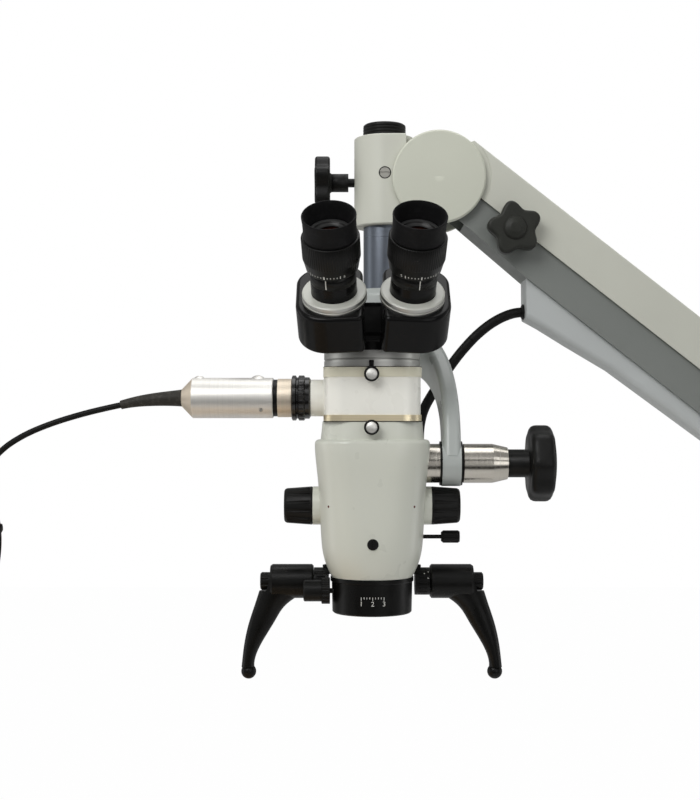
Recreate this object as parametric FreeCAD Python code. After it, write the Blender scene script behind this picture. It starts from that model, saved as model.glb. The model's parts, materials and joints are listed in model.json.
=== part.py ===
"""Surgical microscope head on its balanced parallelogram arm, in millimetres.

The model is laid out in the head frame: x = 0 on the optical axis, y = 0 in the plane of
that axis with +Y away from the surgeon, z = 0 on the tilt axis. The finished pieces are
then moved so that the row's origin is the top of the stand spindle's plain length.
"""
import FreeCAD
import Part
import math
import os

Vector = FreeCAD.Vector
Rotation = FreeCAD.Rotation
Placement = FreeCAD.Placement

X = Vector(1, 0, 0)
Y = Vector(0, 1, 0)
Z = Vector(0, 0, 1)

# Clearances shared by every fit
run_gap = 0.05
face_gap = 0.3
seat_gap = 0.02

# Parallelogram arm
arm_length = 400.0
arm_slope = 38.0
arm_y = 80.0
hub_pivot_x = 54.0
hub_pivot_z = 225.0
pivot_spacing = 40.0
pin_radius = 5.0
open_pivot_gap = 0.3
link_bar_height = 12.0
link_eye_radius = 8.5
cover_half = 25.0
cover_wall = 1.5
cover_top = 24.5
channel_half = cover_half - 3.5
channel_wall = 1.8
channel_top = 38.0
link_bar_half = channel_half - channel_wall - 0.4
tongue_half = link_bar_half - 2.3
cover_skirt = 8.2
disc_radius = 36.9
disc_thick = 4.7
disc_outer = cover_half + face_gap + disc_thick
recess_radius = 41.5
recess_depth = 0.8
duct_half = channel_half - 4.5
duct_wall = 2.0

# Gland of the light guide
gland_x = 124.2
gland_z = 120.6
gland_bore = 4.2

# Swivel column of the front hub
shaft_x = 11.4
hub_radius = 24.4
hub_bottom = 188.7
hub_top = 260.2
shaft_radius = 17.0
journal_radius = 12.5
bush_wall = 2.5
bush_length = 16.0
cap_radius = 17.2
cap_height = 11.4
lock_z = 225.0
lock_screw_radius = 3.5

# Rear knuckle
knuckle_reach = 43.0
knuckle_radius = 23.5
knuckle_drop = 36.7
spindle_radius = 12.5
spindle_length = 60.0
spindle_relief = 1.5

# Yoke and tilt lock
boss_radius = 23.0
boss_bottom = 72.0
boss_top = 134.0
eye_radius = 17.06
eye_in = 52.0
eye_out = 66.0
washer_radius = 16.5
tilt_drum_radius = 14.6
tilt_shaft_radius = 8.0
tilt_thread_radius = 6.0
tilt_sleeve_end = 101.3
tilt_neck_radius = 10.5
tilt_neck_end = 118.5
tilt_knob_radius = 28.6
tilt_knob_end = 137.0

# Microscope body
body_bottom = -84.5
body_top = 18.0
neck_top = 31.4
neck_half = 36.8
drum_z = -31.6
drum_radius = 21.0
drum_half = 34.0
drum_shaft_radius = 4.0
side_boss_radius = 14.3
side_boss_end = 44.25
knob_end = 65.6
path_radius = 9.0
path_x = 12.0
filter_z = -54.9
filter_travel = 10.0
filter_rod_radius = 1.5

# Objective
lip_radius = 31.1
lip_bottom = -88.0
ring_top_radius = 30.2
ring_bottom_radius = 29.7
ring_bottom = -111.3
cell_radius = 24.0
cell_height = 12.0
focus_travel = 6.0
focus_y = -8.0
focus_z = -94.5

# Handles
handle_y = 14.0
handle_z = -89.8
collar_radius = 10.4
collar_in = 32.6
collar_out = 43.8
sleeve_radius = 12.9
sleeve_out = 77.0
axle_radius = 5.0
end_nut_radius = 6.75

# Beam splitter and mount ring
splitter_half = 35.6
splitter_depth_half = 38.0
splitter_top = 70.75
ring_radius = 35.9
ring_mid = 76.75
ring_top = 83.0
screw_x = -1.0
upper_screw_z = 65.3
lower_screw_z = 26.9

# Camera, on the splitter's left
camera_z = 49.0
port_radius = 13.75
port_end = -45.75
lock_ring_end = -60.0
camera_tube_radius = 14.4
camera_radius = 15.1
camera_front = -70.5
camera_band_end = -73.9
camera_body_end = -134.25
camera_cone_end = -142.5
cable_diameter = 4.5

# Binocular
eye_tilt = 41.0
eye_spread = 3.0
lobe_x = 27.3
lobe_y = -60.0
lobe_z = 118.4
lobe_height = 31.0
lobe_inner = 20.0
lobe_outer = 27.7
lobe_front = 26.0
lobe_back = 39.0
swing_back = 20.0
swing_boss_radius = 20.0
collar_height = 6.0
ocular_collar_radius = 22.9
barrel_radius = 16.2
diopter_radius = 20.9
diopter_top = 46.0
cup_rim = 68.0

# Coil of the camera cable
coil_centre = Vector(-301, 25, -62)
coil_radius = 25.0
coil_bundle = 10.4
cable_socket = 3.0

# Points that follow from the sizes above
slope = math.radians(arm_slope)
front_upper = Vector(hub_pivot_x, arm_y, hub_pivot_z + pivot_spacing / 2)
front_lower = Vector(hub_pivot_x, arm_y, hub_pivot_z - pivot_spacing / 2)
arm_vector = Vector(arm_length * math.cos(slope), 0, -arm_length * math.sin(slope))
rear_upper = front_upper + arm_vector
rear_lower = front_lower + arm_vector
rear_centre = (rear_upper + rear_lower) * 0.5
knuckle_x = rear_centre.x + knuckle_reach
shoulder_z = rear_centre.z - knuckle_drop
row_origin = Vector(knuckle_x, arm_y, shoulder_z - spindle_relief)
sides = {"left": -1, "right": 1}

nodes = {}


def cylinder(radius, start, axis, length):
    """Solid cylinder from a start point along an axis."""
    return Part.makeCylinder(radius, length, start, axis)


def ring(outer, inner, start, axis, length):
    """Tube from a start point along an axis."""
    return cylinder(outer, start, axis, length).cut(cylinder(inner, start, axis, length))


def turned(profile, start, axis):
    """Solid of revolution of (radius, height) points about an axis."""
    points = [Vector(radius, 0, height) for radius, height in profile]
    face = Part.Face(Part.makePolygon(points + [points[0]]))
    solid = face.revolve(Vector(0, 0, 0), Z, 360)
    solid.Placement = Placement(start, Rotation(Z, axis))
    return solid


def block(low, high):
    """Box between two corners."""
    return Part.makeBox(high[0] - low[0], high[1] - low[1], high[2] - low[2], Vector(*low))


def rounded_section(half_x, half_y, corner, z, centre_x=0.0, centre_y=0.0):
    """Closed wire of a rounded rectangle at height z, with four arcs and four lines."""
    corner = min(corner, half_x - 0.2, half_y - 0.2)
    edges = []
    inner_x = half_x - corner
    inner_y = half_y - corner
    lay = [(inner_x, -inner_y, -90), (inner_x, inner_y, 0), (-inner_x, inner_y, 90), (-inner_x, -inner_y,
                                                                                      180)]
    ends = []
    for mid_x, mid_y, first in lay:
        points = []
        for turn in (0, 45, 90):
            angle = math.radians(first + turn)
            px = centre_x + mid_x + corner * math.cos(angle)
            py = centre_y + mid_y + corner * math.sin(angle)
            points.append(Vector(px, py, z))
        ends.append(points)
    for index, points in enumerate(ends):
        edges.append(Part.Arc(points[0], points[1], points[2]).toShape())
        following = ends[(index + 1) % 4]
        edges.append(Part.makeLine(points[2], following[0]))
    return Part.Wire(edges)


def rounded_prism(half_x, half_y, corner, low, high, centre_x=0.0, centre_y=0.0):
    """Upright prism with a rounded rectangular plan."""
    wire = rounded_section(half_x, half_y, corner, low, centre_x, centre_y)
    return Part.Face(wire).extrude(Vector(0, 0, high - low))


def lobed_knob(mean, swing, lobes, phase, thickness, edge):
    """Star knob about Z: a wavy disc with rounded rims, standing on z = 0."""
    count = lobes * 8
    points = []
    for step in range(count):
        angle = 2 * math.pi * step / count
        radius = mean + swing * math.cos(lobes * (angle - math.radians(phase)))
        points.append(Vector(radius * math.cos(angle), radius * math.sin(angle), 0))
    curve = Part.BSplineCurve()
    curve.interpolate(Points=points, PeriodicFlag=True)
    solid = Part.Face(Part.Wire(curve.toShape())).extrude(Vector(0, 0, thickness))
    return solid.makeFillet(edge, solid.Edges)


def placed(solid, start, axis, spin=0.0):
    """Copy of a solid built on Z, set down at a point with Z turned to the axis."""
    copy = solid.copy()
    turn = Rotation(Z, axis).multiply(Rotation(Z, spin))
    copy.Placement = Placement(start, turn)
    return copy


def fluted(solid, radius, count, cut_radius, start, axis, length):
    """Cut round flutes into the rim of a turned piece."""
    cutters = []
    for step in range(count):
        angle = 2 * math.pi * step / count
        foot = Vector(radius * math.cos(angle), radius * math.sin(angle), 0)
        cutters.append(Part.makeCylinder(cut_radius, length, foot, Z))
    tool = Part.makeCompound(cutters)
    tool.Placement = Placement(start, Rotation(Z, axis))
    return solid.cut(tool)


def fuse(*solids):
    """Union of solids as one clean solid."""
    joined = solids[0]
    for solid in solids[1:]:
        joined = joined.fuse(solid)
    return joined.removeSplitter()


def mirrored(solid):
    """Copy reflected to the other side of the optical axis."""
    return solid.mirror(Vector(0, 0, 0), X)


def keep(node, *solids):
    """Note the solids of one node, in the head frame."""
    nodes.setdefault(node, []).extend(solids)


def arm_point(u, v, pivot, y=0.0):
    """Head-frame point at u along a link from its front pivot and v above its axis."""
    along = Vector(math.cos(slope), 0, -math.sin(slope))
    above = Vector(math.sin(slope), 0, math.cos(slope))
    return pivot + along * u + above * v + Vector(0, y, 0)


def link_plate(outline, pivot, low_y, high_y):
    """Plate cut to an outline in a link's own plane, between two distances from the arm's plane."""
    points = [arm_point(u, v, pivot, low_y) for u, v in outline]
    face = Part.Face(Part.makePolygon(points + [points[0]]))
    return face.extrude(Vector(0, high_y - low_y, 0))


def both_sides(outline, pivot, inner, outer):
    """The same plate on both sides of the arm's plane."""
    near = link_plate(outline, pivot, -outer, -inner)
    far = link_plate(outline, pivot, inner, outer)
    return near, far


def cross_pin(pivot, radius, half):
    """Round bar across the arm, centred on its plane."""
    return cylinder(radius, pivot - Y * half, Y, 2 * half)


def end_round(pivot, u, radius, inner, outer):
    """Discs that round the end of a pair of link plates."""
    centre = arm_point(u, 0, pivot)
    near = cylinder(radius, centre - Y * outer, Y, outer - inner)
    far = cylinder(radius, centre + Y * inner, Y, outer - inner)
    return near, far


def make_top_cover():
    """White inverted channel, which is the upper link's skin."""
    nose = 12.0
    walls = [(0, -cover_skirt), (0, nose), (13, cover_top - 5.5), (16.5, cover_top),
             (arm_length - 16.5, cover_top), (arm_length - 13, cover_top - 5.5),
             (arm_length, nose), (arm_length, -cover_skirt)]
    inner = cover_half - cover_wall
    near, far = both_sides(walls, front_upper, inner, cover_half)
    roof_low = cover_top - cover_wall
    roof = link_plate([(17, roof_low), (17, cover_top), (arm_length - 17, cover_top),
                       (arm_length - 17, roof_low)], front_upper, -inner, inner)
    ends = end_round(front_upper, 0, nose, inner, cover_half)
    far_ends = end_round(front_upper, arm_length, nose, inner, cover_half)
    shape = fuse(near, far, roof, *ends, *far_ends)
    rim_edges = []
    for edge in shape.Edges:
        middle = edge.valueAt((edge.FirstParameter + edge.LastParameter) / 2)
        rel = middle - front_upper
        u = rel.x * math.cos(slope) - rel.z * math.sin(slope)
        v = rel.x * math.sin(slope) + rel.z * math.cos(slope)
        on_side = abs(abs(rel.y) - cover_half) < 0.01
        if on_side and abs(v - cover_top) < 0.01 and 20 < u < arm_length - 20:
            rim_edges.append(edge)
    shape = shape.makeFillet(cover_wall * 0.9, rim_edges)
    for pivot, lower in ((front_upper, front_lower), (rear_upper, rear_lower)):
        shape = shape.cut(cross_pin(pivot, pin_radius + open_pivot_gap, cover_half + 1))
        middle = (pivot + lower) * 0.5
        for side in (-1, 1):
            foot = middle + Y * side * (cover_half - recess_depth)
            shape = shape.cut(cylinder(recess_radius, foot, Y * side, 3.0))
    keep("arm_top_cover", shape)


def make_upper_bar():
    """Twin flat bars of the upper link, tied by three spacers."""
    outline = [(0, -link_bar_height / 2), (0, link_bar_height / 2),
               (arm_length, link_bar_height / 2), (arm_length, -link_bar_height / 2)]
    inner = tongue_half + face_gap
    bars = list(both_sides(outline, front_upper, inner, link_bar_half))
    bars += end_round(front_upper, 0, link_eye_radius, inner, link_bar_half)
    bars += end_round(front_upper, arm_length, link_eye_radius, inner, link_bar_half)
    for share in (0.25, 0.5, 0.75):
        bars.append(cross_pin(arm_point(arm_length * share, 0, front_upper), 4.0, link_bar_half))
        plate = [(arm_length * share - 9, link_bar_height / 2 - 0.5), (arm_length * share - 9,
                                                                       cover_top - cover_wall),
                 (arm_length * share + 9, cover_top - cover_wall), (arm_length * share + 9,
                                                                    link_bar_height / 2 - 0.5)]
        bars += both_sides(plate, front_upper, inner, link_bar_half)
    shape = fuse(*bars)
    shape = shape.cut(cross_pin(front_upper, pin_radius + open_pivot_gap, cover_half))
    shape = shape.cut(cross_pin(rear_upper, pin_radius + run_gap, cover_half))
    keep("upper_link_bar", shape)


def make_lower_channel():
    """Grey channel of the lower link, open at the top, with a flange strip below."""
    start = 14.0
    duct_start = 91.6
    walls = [(0, -4.0), (0, 12.0), (60, channel_top), (arm_length - 60, channel_top),
             (arm_length, 12.0), (arm_length, -4.0), (duct_start, -3.6), (start, -0.2)]
    inner = channel_half - channel_wall
    near, far = both_sides(walls, front_lower, inner, channel_half)
    floor = link_plate([(26, -0.8), (duct_start, -3.6), (arm_length - 34, -3.6), (arm_length - 34, -1.8),
                        (duct_start, -1.8), (26, 1.0)], front_lower, -inner, inner)
    ends = end_round(front_lower, 0, 12.0, inner, channel_half)
    far_ends = end_round(front_lower, arm_length, 12.0, inner, channel_half)
    shape = fuse(near, far, floor, *ends, *far_ends)
    for pivot in (front_lower, rear_lower):
        shape = shape.cut(cross_pin(pivot, pin_radius + run_gap, cover_half))
    keep("lower_link_channel", shape)


def make_duct():
    """Cable duct under the lower link, whose front face holds the light guide's gland."""
    gland_centre = Vector(gland_x, arm_y, gland_z)
    rear = arm_length - 36
    outline = [(91.7, -3.6), (111.6, -28.6), (125, -26.4), (151, -23.6), (190, -18.6),
               (arm_length - 60, -14.0), (rear, -5.6), (rear, -3.6)]
    hollow = [(97.0, 0), (97.0, -6.0), (113.0, -26.2), (125, -24.3), (151, -21.5), (190, -16.5),
              (arm_length - 62, -11.8), (arm_length - 62, 0)]
    shape = link_plate(outline, front_lower, -duct_half, duct_half)
    belly = []
    for edge in shape.Edges:
        middle = edge.valueAt((edge.FirstParameter + edge.LastParameter) / 2) - front_lower
        level = middle.x * math.sin(slope) + middle.z * math.cos(slope)
        if edge.BoundBox.YLength < 1 and -27.6 < level < -15:
            along = middle.x * math.cos(slope) - middle.z * math.sin(slope)
            if along > 112:
                belly.append(edge)
    shape = shape.makeFillet(5.0, belly)
    shape = shape.cut(link_plate(hollow, front_lower, -duct_half + 2.6 * duct_wall, duct_half - 2.6 * duct_wall))
    shape = shape.cut(cylinder(5.25, gland_centre - X * 6, X, 24))
    keep("cable_duct", shape)
    gland = turned([(gland_bore, 10), (5.2, 10), (5.2, -0.3), (6.2, -0.3), (6.2, -1.2), (5.0, -2.2),
                    (gland_bore, -2.2)], gland_centre, X)
    keep("light_guide_gland", gland)


def make_spring():
    """Balance spring in its tube, held in the lower link between two cross lugs."""
    height = 10.8
    low = 110.0
    high = 300.0
    along = arm_point(1, 0, front_lower) - arm_point(0, 0, front_lower)
    lug = 6.0
    tube = ring(12.0, 10.5, arm_point(low, height, front_lower), along, high - low)
    rod = cylinder(3.0, arm_point(low - lug - 5, height, front_lower), along, high - low + 2 * lug + 10)
    coils = []
    for step in range(9):
        centre = arm_point(low + 15 + step * 20, height, front_lower)
        coils.append(Part.makeTorus(8.6, 1.6, centre, along))
    lugs = []
    for u in (low - lug, high):
        plate = link_plate([(u, -1.8), (u, 20), (u + lug, 20), (u + lug, -1.8)], front_lower,
                           -(channel_half - channel_wall), channel_half - channel_wall)
        lugs.append(plate)
    keep("balance_spring", fuse(rod, tube, *lugs), *coils)


def make_pivots():
    """Cross pins and the disc covers on the hub and on the rear knuckle."""
    pairs = {"front": (front_upper, front_lower), "rear": (rear_upper, rear_lower)}
    half = disc_outer - disc_thick
    for name, (upper, lower) in pairs.items():
        keep(name + "_pivot_pins", cross_pin(upper, pin_radius, half), cross_pin(lower, pin_radius, half))
        centre = (upper + lower) * 0.5
        for side in (-1, 1):
            plate = turned([(0, 0), (disc_radius - 0.6, 0), (disc_radius, 0.6), (disc_radius, 3.4),
                            (disc_radius - 1.3, 4.4), (0, disc_thick)], centre + Y * side * half, Y * side)
            keep(name + "_disc_covers", plate)


def make_hub():
    """Swivel column with the tongue that carries the arm's front pivots."""
    centre = Vector(shaft_x, arm_y, 0)
    column = cylinder(hub_radius, centre + Z * hub_bottom, Z, hub_top - hub_bottom)
    face = block((shaft_x, arm_y - hub_radius, hub_bottom), (28.0, arm_y + hub_radius, hub_top))
    web = block((20.0, arm_y - tongue_half, front_lower.z - 12.0),
                (hub_pivot_x + 12.0, arm_y + tongue_half, front_upper.z + 12.0))
    web = web.makeFillet(10.0, [edge for edge in web.Edges if edge.BoundBox.YLength > tongue_half
                                and edge.BoundBox.XMin > 30])
    head = fuse(column, face)
    head = head.makeChamfer(0.8, [edge for edge in head.Edges if edge.BoundBox.ZLength < 0.01])
    shape = fuse(head, web)
    for pivot in (front_upper, front_lower):
        shape = shape.cut(cross_pin(pivot, pin_radius + seat_gap, cover_half))
    shape = shape.cut(cylinder(journal_radius + bush_wall + seat_gap, centre + Z * (hub_bottom - 1), Z, 80))
    shape = shape.cut(cylinder(lock_screw_radius + run_gap, Vector(-20, arm_y, lock_z), X, 20))
    screw_seat = Vector(shaft_x - 0.2, arm_y - hub_radius, 229.0)
    shape = shape.cut(cylinder(4.2, screw_seat - Y, Y, 4.0))
    keep("front_hub", shape)
    screw = cylinder(4.15, screw_seat + Y * 0.2, Y, 2.75)
    screw = screw.cut(block((screw_seat.x - 5, screw_seat.y, 228.5), (screw_seat.x + 5, screw_seat.y + 1.2,
                                                                      229.5)))
    keep("hub_screw", screw)
    for low in (hub_bottom + 0.5, hub_top - bush_length - 0.5):
        keep("swivel_bushes", ring(journal_radius + bush_wall, journal_radius + run_gap, centre + Z * low,
                                   Z, bush_length))


def make_swivel_lock():
    """Star knob whose screw brakes the swivel shaft through the hub's wall."""
    tip = shaft_x - journal_radius - face_gap
    screw = cylinder(lock_screw_radius, Vector(tip, arm_y, lock_z), -X, tip + 19.0)
    neck = turned([(0, 0), (7.3, 0), (7.3, 3), (6.2, 4.5), (6.2, 12), (8.5, 15.2), (0, 15.2)],
                  Vector(-17.8, arm_y, lock_z), -X)
    star = lobed_knob(18.6, 2.9, 5, 0, 12.2, 2.2)
    knob = placed(star, Vector(-32.7, arm_y, lock_z), -X)
    keep("swivel_lock_knob", fuse(screw, neck, knob))


def make_arm_lock():
    """Star knob on the side of the lower link that locks the arm's height."""
    centre = arm_point(59.7, 18.2, front_lower)
    foot = centre - Y * (channel_half - channel_wall)
    stud = cylinder(3.5, foot + Y * 3, -Y, 14.5)
    washer = cylinder(6.0, centre - Y * (cover_half + 1.6), -Y, disc_outer - cover_half - 1.0)
    star = lobed_knob(18.8, 2.8, 5, 28, 12.0, 2.6)
    start = centre - Y * (disc_outer + 0.4)
    knob = placed(star, start, -Y)
    crown = turned([(0, 0), (9.5, 0), (8.0, 2.4), (4.0, 3.6), (0, 3.8)], start - Y * 11.8, -Y)
    keep("arm_lock_knob", fuse(stud, washer, knob, crown))
    channel = nodes["lower_link_channel"]
    channel[0] = channel[0].cut(cylinder(3.5 + run_gap, foot + Y * 4, -Y, 8.0))
    boss = ring(5.5, 3.5 + run_gap, foot, Y, 5.0)
    channel[0] = channel[0].fuse(boss).removeSplitter()


def make_rear_knuckle():
    """Level knuckle at the arm's rear, with the spindle that drops into a stand."""
    centre = Vector(knuckle_x, arm_y, 0)
    high = shoulder_z + 76.0
    column = cylinder(knuckle_radius, centre + Z * shoulder_z, Z, high - shoulder_z)
    web = block((rear_centre.x - 12.0, arm_y - tongue_half, rear_lower.z - 12.0),
                (knuckle_x, arm_y + tongue_half, rear_upper.z + 12.0))
    web = web.makeFillet(10.0, [edge for edge in web.Edges if edge.BoundBox.YLength > tongue_half
                                and edge.BoundBox.XMax < rear_centre.x])
    shape = fuse(column, web)
    rims = [edge for edge in shape.Edges if edge.BoundBox.ZLength < 0.01
            and abs(edge.BoundBox.ZMin - high) < 0.01]
    shape = shape.makeFillet(2.5, rims)
    for pivot in (rear_upper, rear_lower):
        shape = shape.cut(cross_pin(pivot, pin_radius + seat_gap, cover_half))
    shank = spindle_radius - 1.0
    seat = cylinder(shank + seat_gap, centre + Z * (shoulder_z - 1), Z, 31)
    keep("rear_knuckle", shape.cut(seat))
    spindle = turned([(0, -spindle_length), (spindle_radius - 1.5, -spindle_length),
                      (spindle_radius, -spindle_length + 1.5), (spindle_radius, -spindle_relief),
                      (shank, -spindle_relief), (shank, 30), (0, 30)], centre + Z * shoulder_z, Z)
    keep("stand_spindle", spindle)


def make_yoke():
    """Swivel shaft, its cap, and the bent arm that carries the tilt axis."""
    centre = Vector(shaft_x, arm_y, 0)
    shaft = turned([(0, boss_bottom + 2), (shaft_radius, boss_bottom + 2),
                    (shaft_radius, hub_bottom - face_gap),
                    (journal_radius, hub_bottom - face_gap), (journal_radius, hub_top + face_gap),
                    (9.0, hub_top + face_gap), (9.0, hub_top + 8), (0, hub_top + 8)], centre, Z)
    keep("swivel_shaft", shaft)
    cap_low = hub_top + face_gap
    cap = turned([(9.0 + seat_gap, cap_low), (cap_radius, cap_low),
                  (cap_radius, hub_top + cap_height - 1.2),
                  (cap_radius - 1.2, hub_top + cap_height), (0, hub_top + cap_height),
                  (0, hub_top + 8 + seat_gap), (9.0 + seat_gap, hub_top + 8 + seat_gap)], centre, Z)
    cap = fluted(cap, cap_radius + 0.9, 24, 1.5, centre + Z * cap_low, Z, cap_height - 2.5)
    keep("shaft_cap", cap)

    boss = cylinder(boss_radius, centre + Z * boss_bottom, Z, boss_top - boss_bottom)
    boss = boss.makeFillet(2.0, boss.Edges)
    collar = cylinder(boss_radius - 2.5, centre + Z * (boss_top - 0.5), Z, 4.5)
    eye = cylinder(eye_radius, Vector(eye_in, 0, 0), X, eye_out - eye_in)
    stations = [((59.2, 0, 2), 6.6, 17.0), ((59.3, 4, 18), 6.6, 17.0), ((58.6, 13, 40), 6.4, 17.5),
                ((55.4, 26, 60), 6.4, 18.0), ((48.2, 42, 77), 6.6, 19.0), ((35.5, 58, 90), 7.2, 20.0),
                ((20, 74, 96), 9.0, 19.0)]
    wires = []
    last = len(stations) - 1
    for index, (mid, half_thick, half_wide) in enumerate(stations):
        before = Vector(*stations[max(index - 1, 0)][0])
        after = Vector(*stations[min(index + 1, last)][0])
        along = (after - before).normalize()
        across = Vector(0, along.z, -along.y).normalize()
        thick = along.cross(across).normalize()
        corner = 4.5
        section = rounded_section(half_thick, half_wide, corner, 0)
        frame = FreeCAD.Matrix(thick.x, across.x, along.x, mid[0], thick.y, across.y, along.y, mid[1],
                               thick.z, across.z, along.z, mid[2], 0, 0, 0, 1)
        wires.append(section.transformGeometry(frame))
    arm = Part.makeLoft(wires, True, False)
    yoke = fuse(boss, collar, eye, arm)
    yoke = yoke.cut(cylinder(tilt_shaft_radius + run_gap, Vector(eye_in - 2, 0, 0), X,
                             eye_out - eye_in + 4))
    yoke = yoke.cut(cylinder(shaft_radius + seat_gap, centre + Z * (boss_bottom + 2 - seat_gap), Z, 80))
    keep("yoke_arm", yoke)
    for low, high in ((eye_in - 1.3, eye_in), (eye_out, eye_out + 1.3)):
        keep("yoke_washers", ring(washer_radius, tilt_shaft_radius + face_gap, Vector(low, 0, 0), X,
                                  high - low))


def make_tilt_lock():
    """Steel drum and shaft on the body, and the sleeve and big knob that clamp the yoke's eye."""
    base = 39.0
    drum = turned([(0, 0), (tilt_drum_radius - 1, 0), (tilt_drum_radius, 1), (tilt_drum_radius,
                                                                              eye_in - 1.6 - base),
                   (tilt_shaft_radius, eye_in - 1.6 - base), (tilt_shaft_radius,
                                                              tilt_sleeve_end - 3 - base),
                   (tilt_thread_radius, tilt_sleeve_end - 3 - base), (tilt_thread_radius,
                                                                      tilt_neck_end + 4 - base),
                   (0, tilt_neck_end + 4 - base)], Vector(base, 0, 0), X)
    keep("tilt_drum", drum)
    start = eye_out + 1.3 + face_gap
    bore = tilt_shaft_radius + run_gap
    sleeve = turned([(bore, 0), (tilt_drum_radius - 0.8, 0), (tilt_drum_radius, 0.8), (tilt_drum_radius,
                                                                                       90 - start),
                     (12.0, tilt_sleeve_end - start), (tilt_thread_radius + run_gap,
                                                       tilt_sleeve_end - start),
                     (tilt_thread_radius + run_gap, tilt_sleeve_end - 3 + run_gap - start),
                     (bore, tilt_sleeve_end - 3 + run_gap - start)], Vector(start, 0, 0), X)
    keep("tilt_lock_sleeve", sleeve)
    bore = tilt_thread_radius + run_gap
    neck = ring(tilt_neck_radius, bore, Vector(tilt_sleeve_end, 0, 0), X, tilt_neck_end - tilt_sleeve_end)
    thick = tilt_knob_end - tilt_neck_end + 1.6
    star = lobed_knob(tilt_knob_radius - 0.9, 0.9, 8, 0, thick, 1.4)
    dome = Part.makeSphere(78.0, Vector(0, 0, thick - 78.0))
    knob = placed(star.common(dome), Vector(tilt_neck_end - 1.6, 0, 0), X)
    knob = knob.cut(cylinder(bore, Vector(tilt_neck_end - 2, 0, 0), X, 7.0))
    keep("tilt_lock_knob", fuse(neck, knob))


def make_body():
    """Microscope body casting with its round neck and side bosses, hollow for the drum and light paths."""
    spans = [(-84.5, 30.0), (-80.0, 32.4), (-74.0, 34.8), (-66.0, 36.8), (-54.0, 38.0), (-36.0, 38.9),
             (-18.0, 39.8), (0.0, 41.5), (body_top, 42.2)]
    wires = []
    for z, half in spans:
        squareness = (z - body_bottom) / (body_top - body_bottom)
        corner = half * (0.97 - 0.35 * squareness)
        wires.append(rounded_section(half, half * 1.02, corner, z))
    shell = Part.makeLoft(wires, True, False)
    top_edges = [edge for edge in shell.Edges if edge.BoundBox.ZMin > body_top - 0.01]
    shell = shell.makeFillet(3.0, top_edges)
    neck_wires = []
    for z, grow in ((body_top - 1.0, 1.5), (body_top + 6.0, 0.7), (neck_top, 0.0)):
        neck_wires.append(rounded_section(neck_half + grow, neck_half + 1.2 + grow, 23.0 + grow, z))
    neck = Part.makeLoft(neck_wires, True, False)
    bosses = cylinder(side_boss_radius, Vector(-side_boss_end, 0, drum_z), X, 2 * side_boss_end)
    shape = fuse(shell, neck, bosses)
    shape = shape.cut(cylinder(drum_radius + 0.6, Vector(-drum_half - 0.6, 0, drum_z), X,
                               2 * drum_half + 1.2))
    shape = shape.cut(cylinder(drum_shaft_radius + run_gap, Vector(-60, 0, drum_z), X, 120))
    for side in (-1, 1):
        shape = shape.cut(cylinder(path_radius, Vector(side * path_x, 0, body_bottom - 1), Z, 130))
    shape = shape.cut(cylinder(4.1 + seat_gap, Vector(0, -50, -57.8), Y, 20.1))
    shape = shape.cut(cylinder(filter_rod_radius + run_gap, Vector(22, 0, filter_z), X, 30))
    shape = shape.cut(block((-22.5 - filter_travel, -13.5, filter_z - 1.9), (22.5, 13.5, filter_z + 1.9)))
    shape = shape.cut(cylinder(tilt_drum_radius + seat_gap, Vector(39, 0, 0), X, 10))
    keep("body_shell", shape)
    front = -38.0 * 1.02
    plug = turned([(0, 0), (3.2, 0), (4.1, 0.8), (4.1, 9.5), (0, 9.5)], Vector(0, front - 0.9, -57.8), Y)
    plug = plug.cut(Part.makeBox(1.0, 1.2, 6.0, Vector(-0.5, front - 1.0, -60.8)))
    keep("front_plug", plug)
    keep("light_port", make_light_port())


def make_light_port():
    """Elbow socket at the body's right rear that takes the light guide's end."""
    foot = Vector(38, 55, 12)
    barrel = ring(7.5, 4.2, foot - Z * 16, Z, 16)
    nut = ring(9.0, 4.2, foot - Z * 4.5, Z, 4.5)
    base = cylinder(7.5, foot - Z * 20, Z, 4.2)
    arm = cylinder(6.5, Vector(27, 36, foot.z - 13), Vector(11, 19, 0).normalize(), 18)
    arm = arm.cut(cylinder(7.4, foot - Z * 30, Z, 40))
    socket = fuse(barrel, nut, base)
    arm = arm.cut(nodes["body_shell"][0])
    outer = [solid for solid in arm.Solids if solid.CenterOfMass.y > 40]
    return fuse(socket, *outer)


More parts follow.
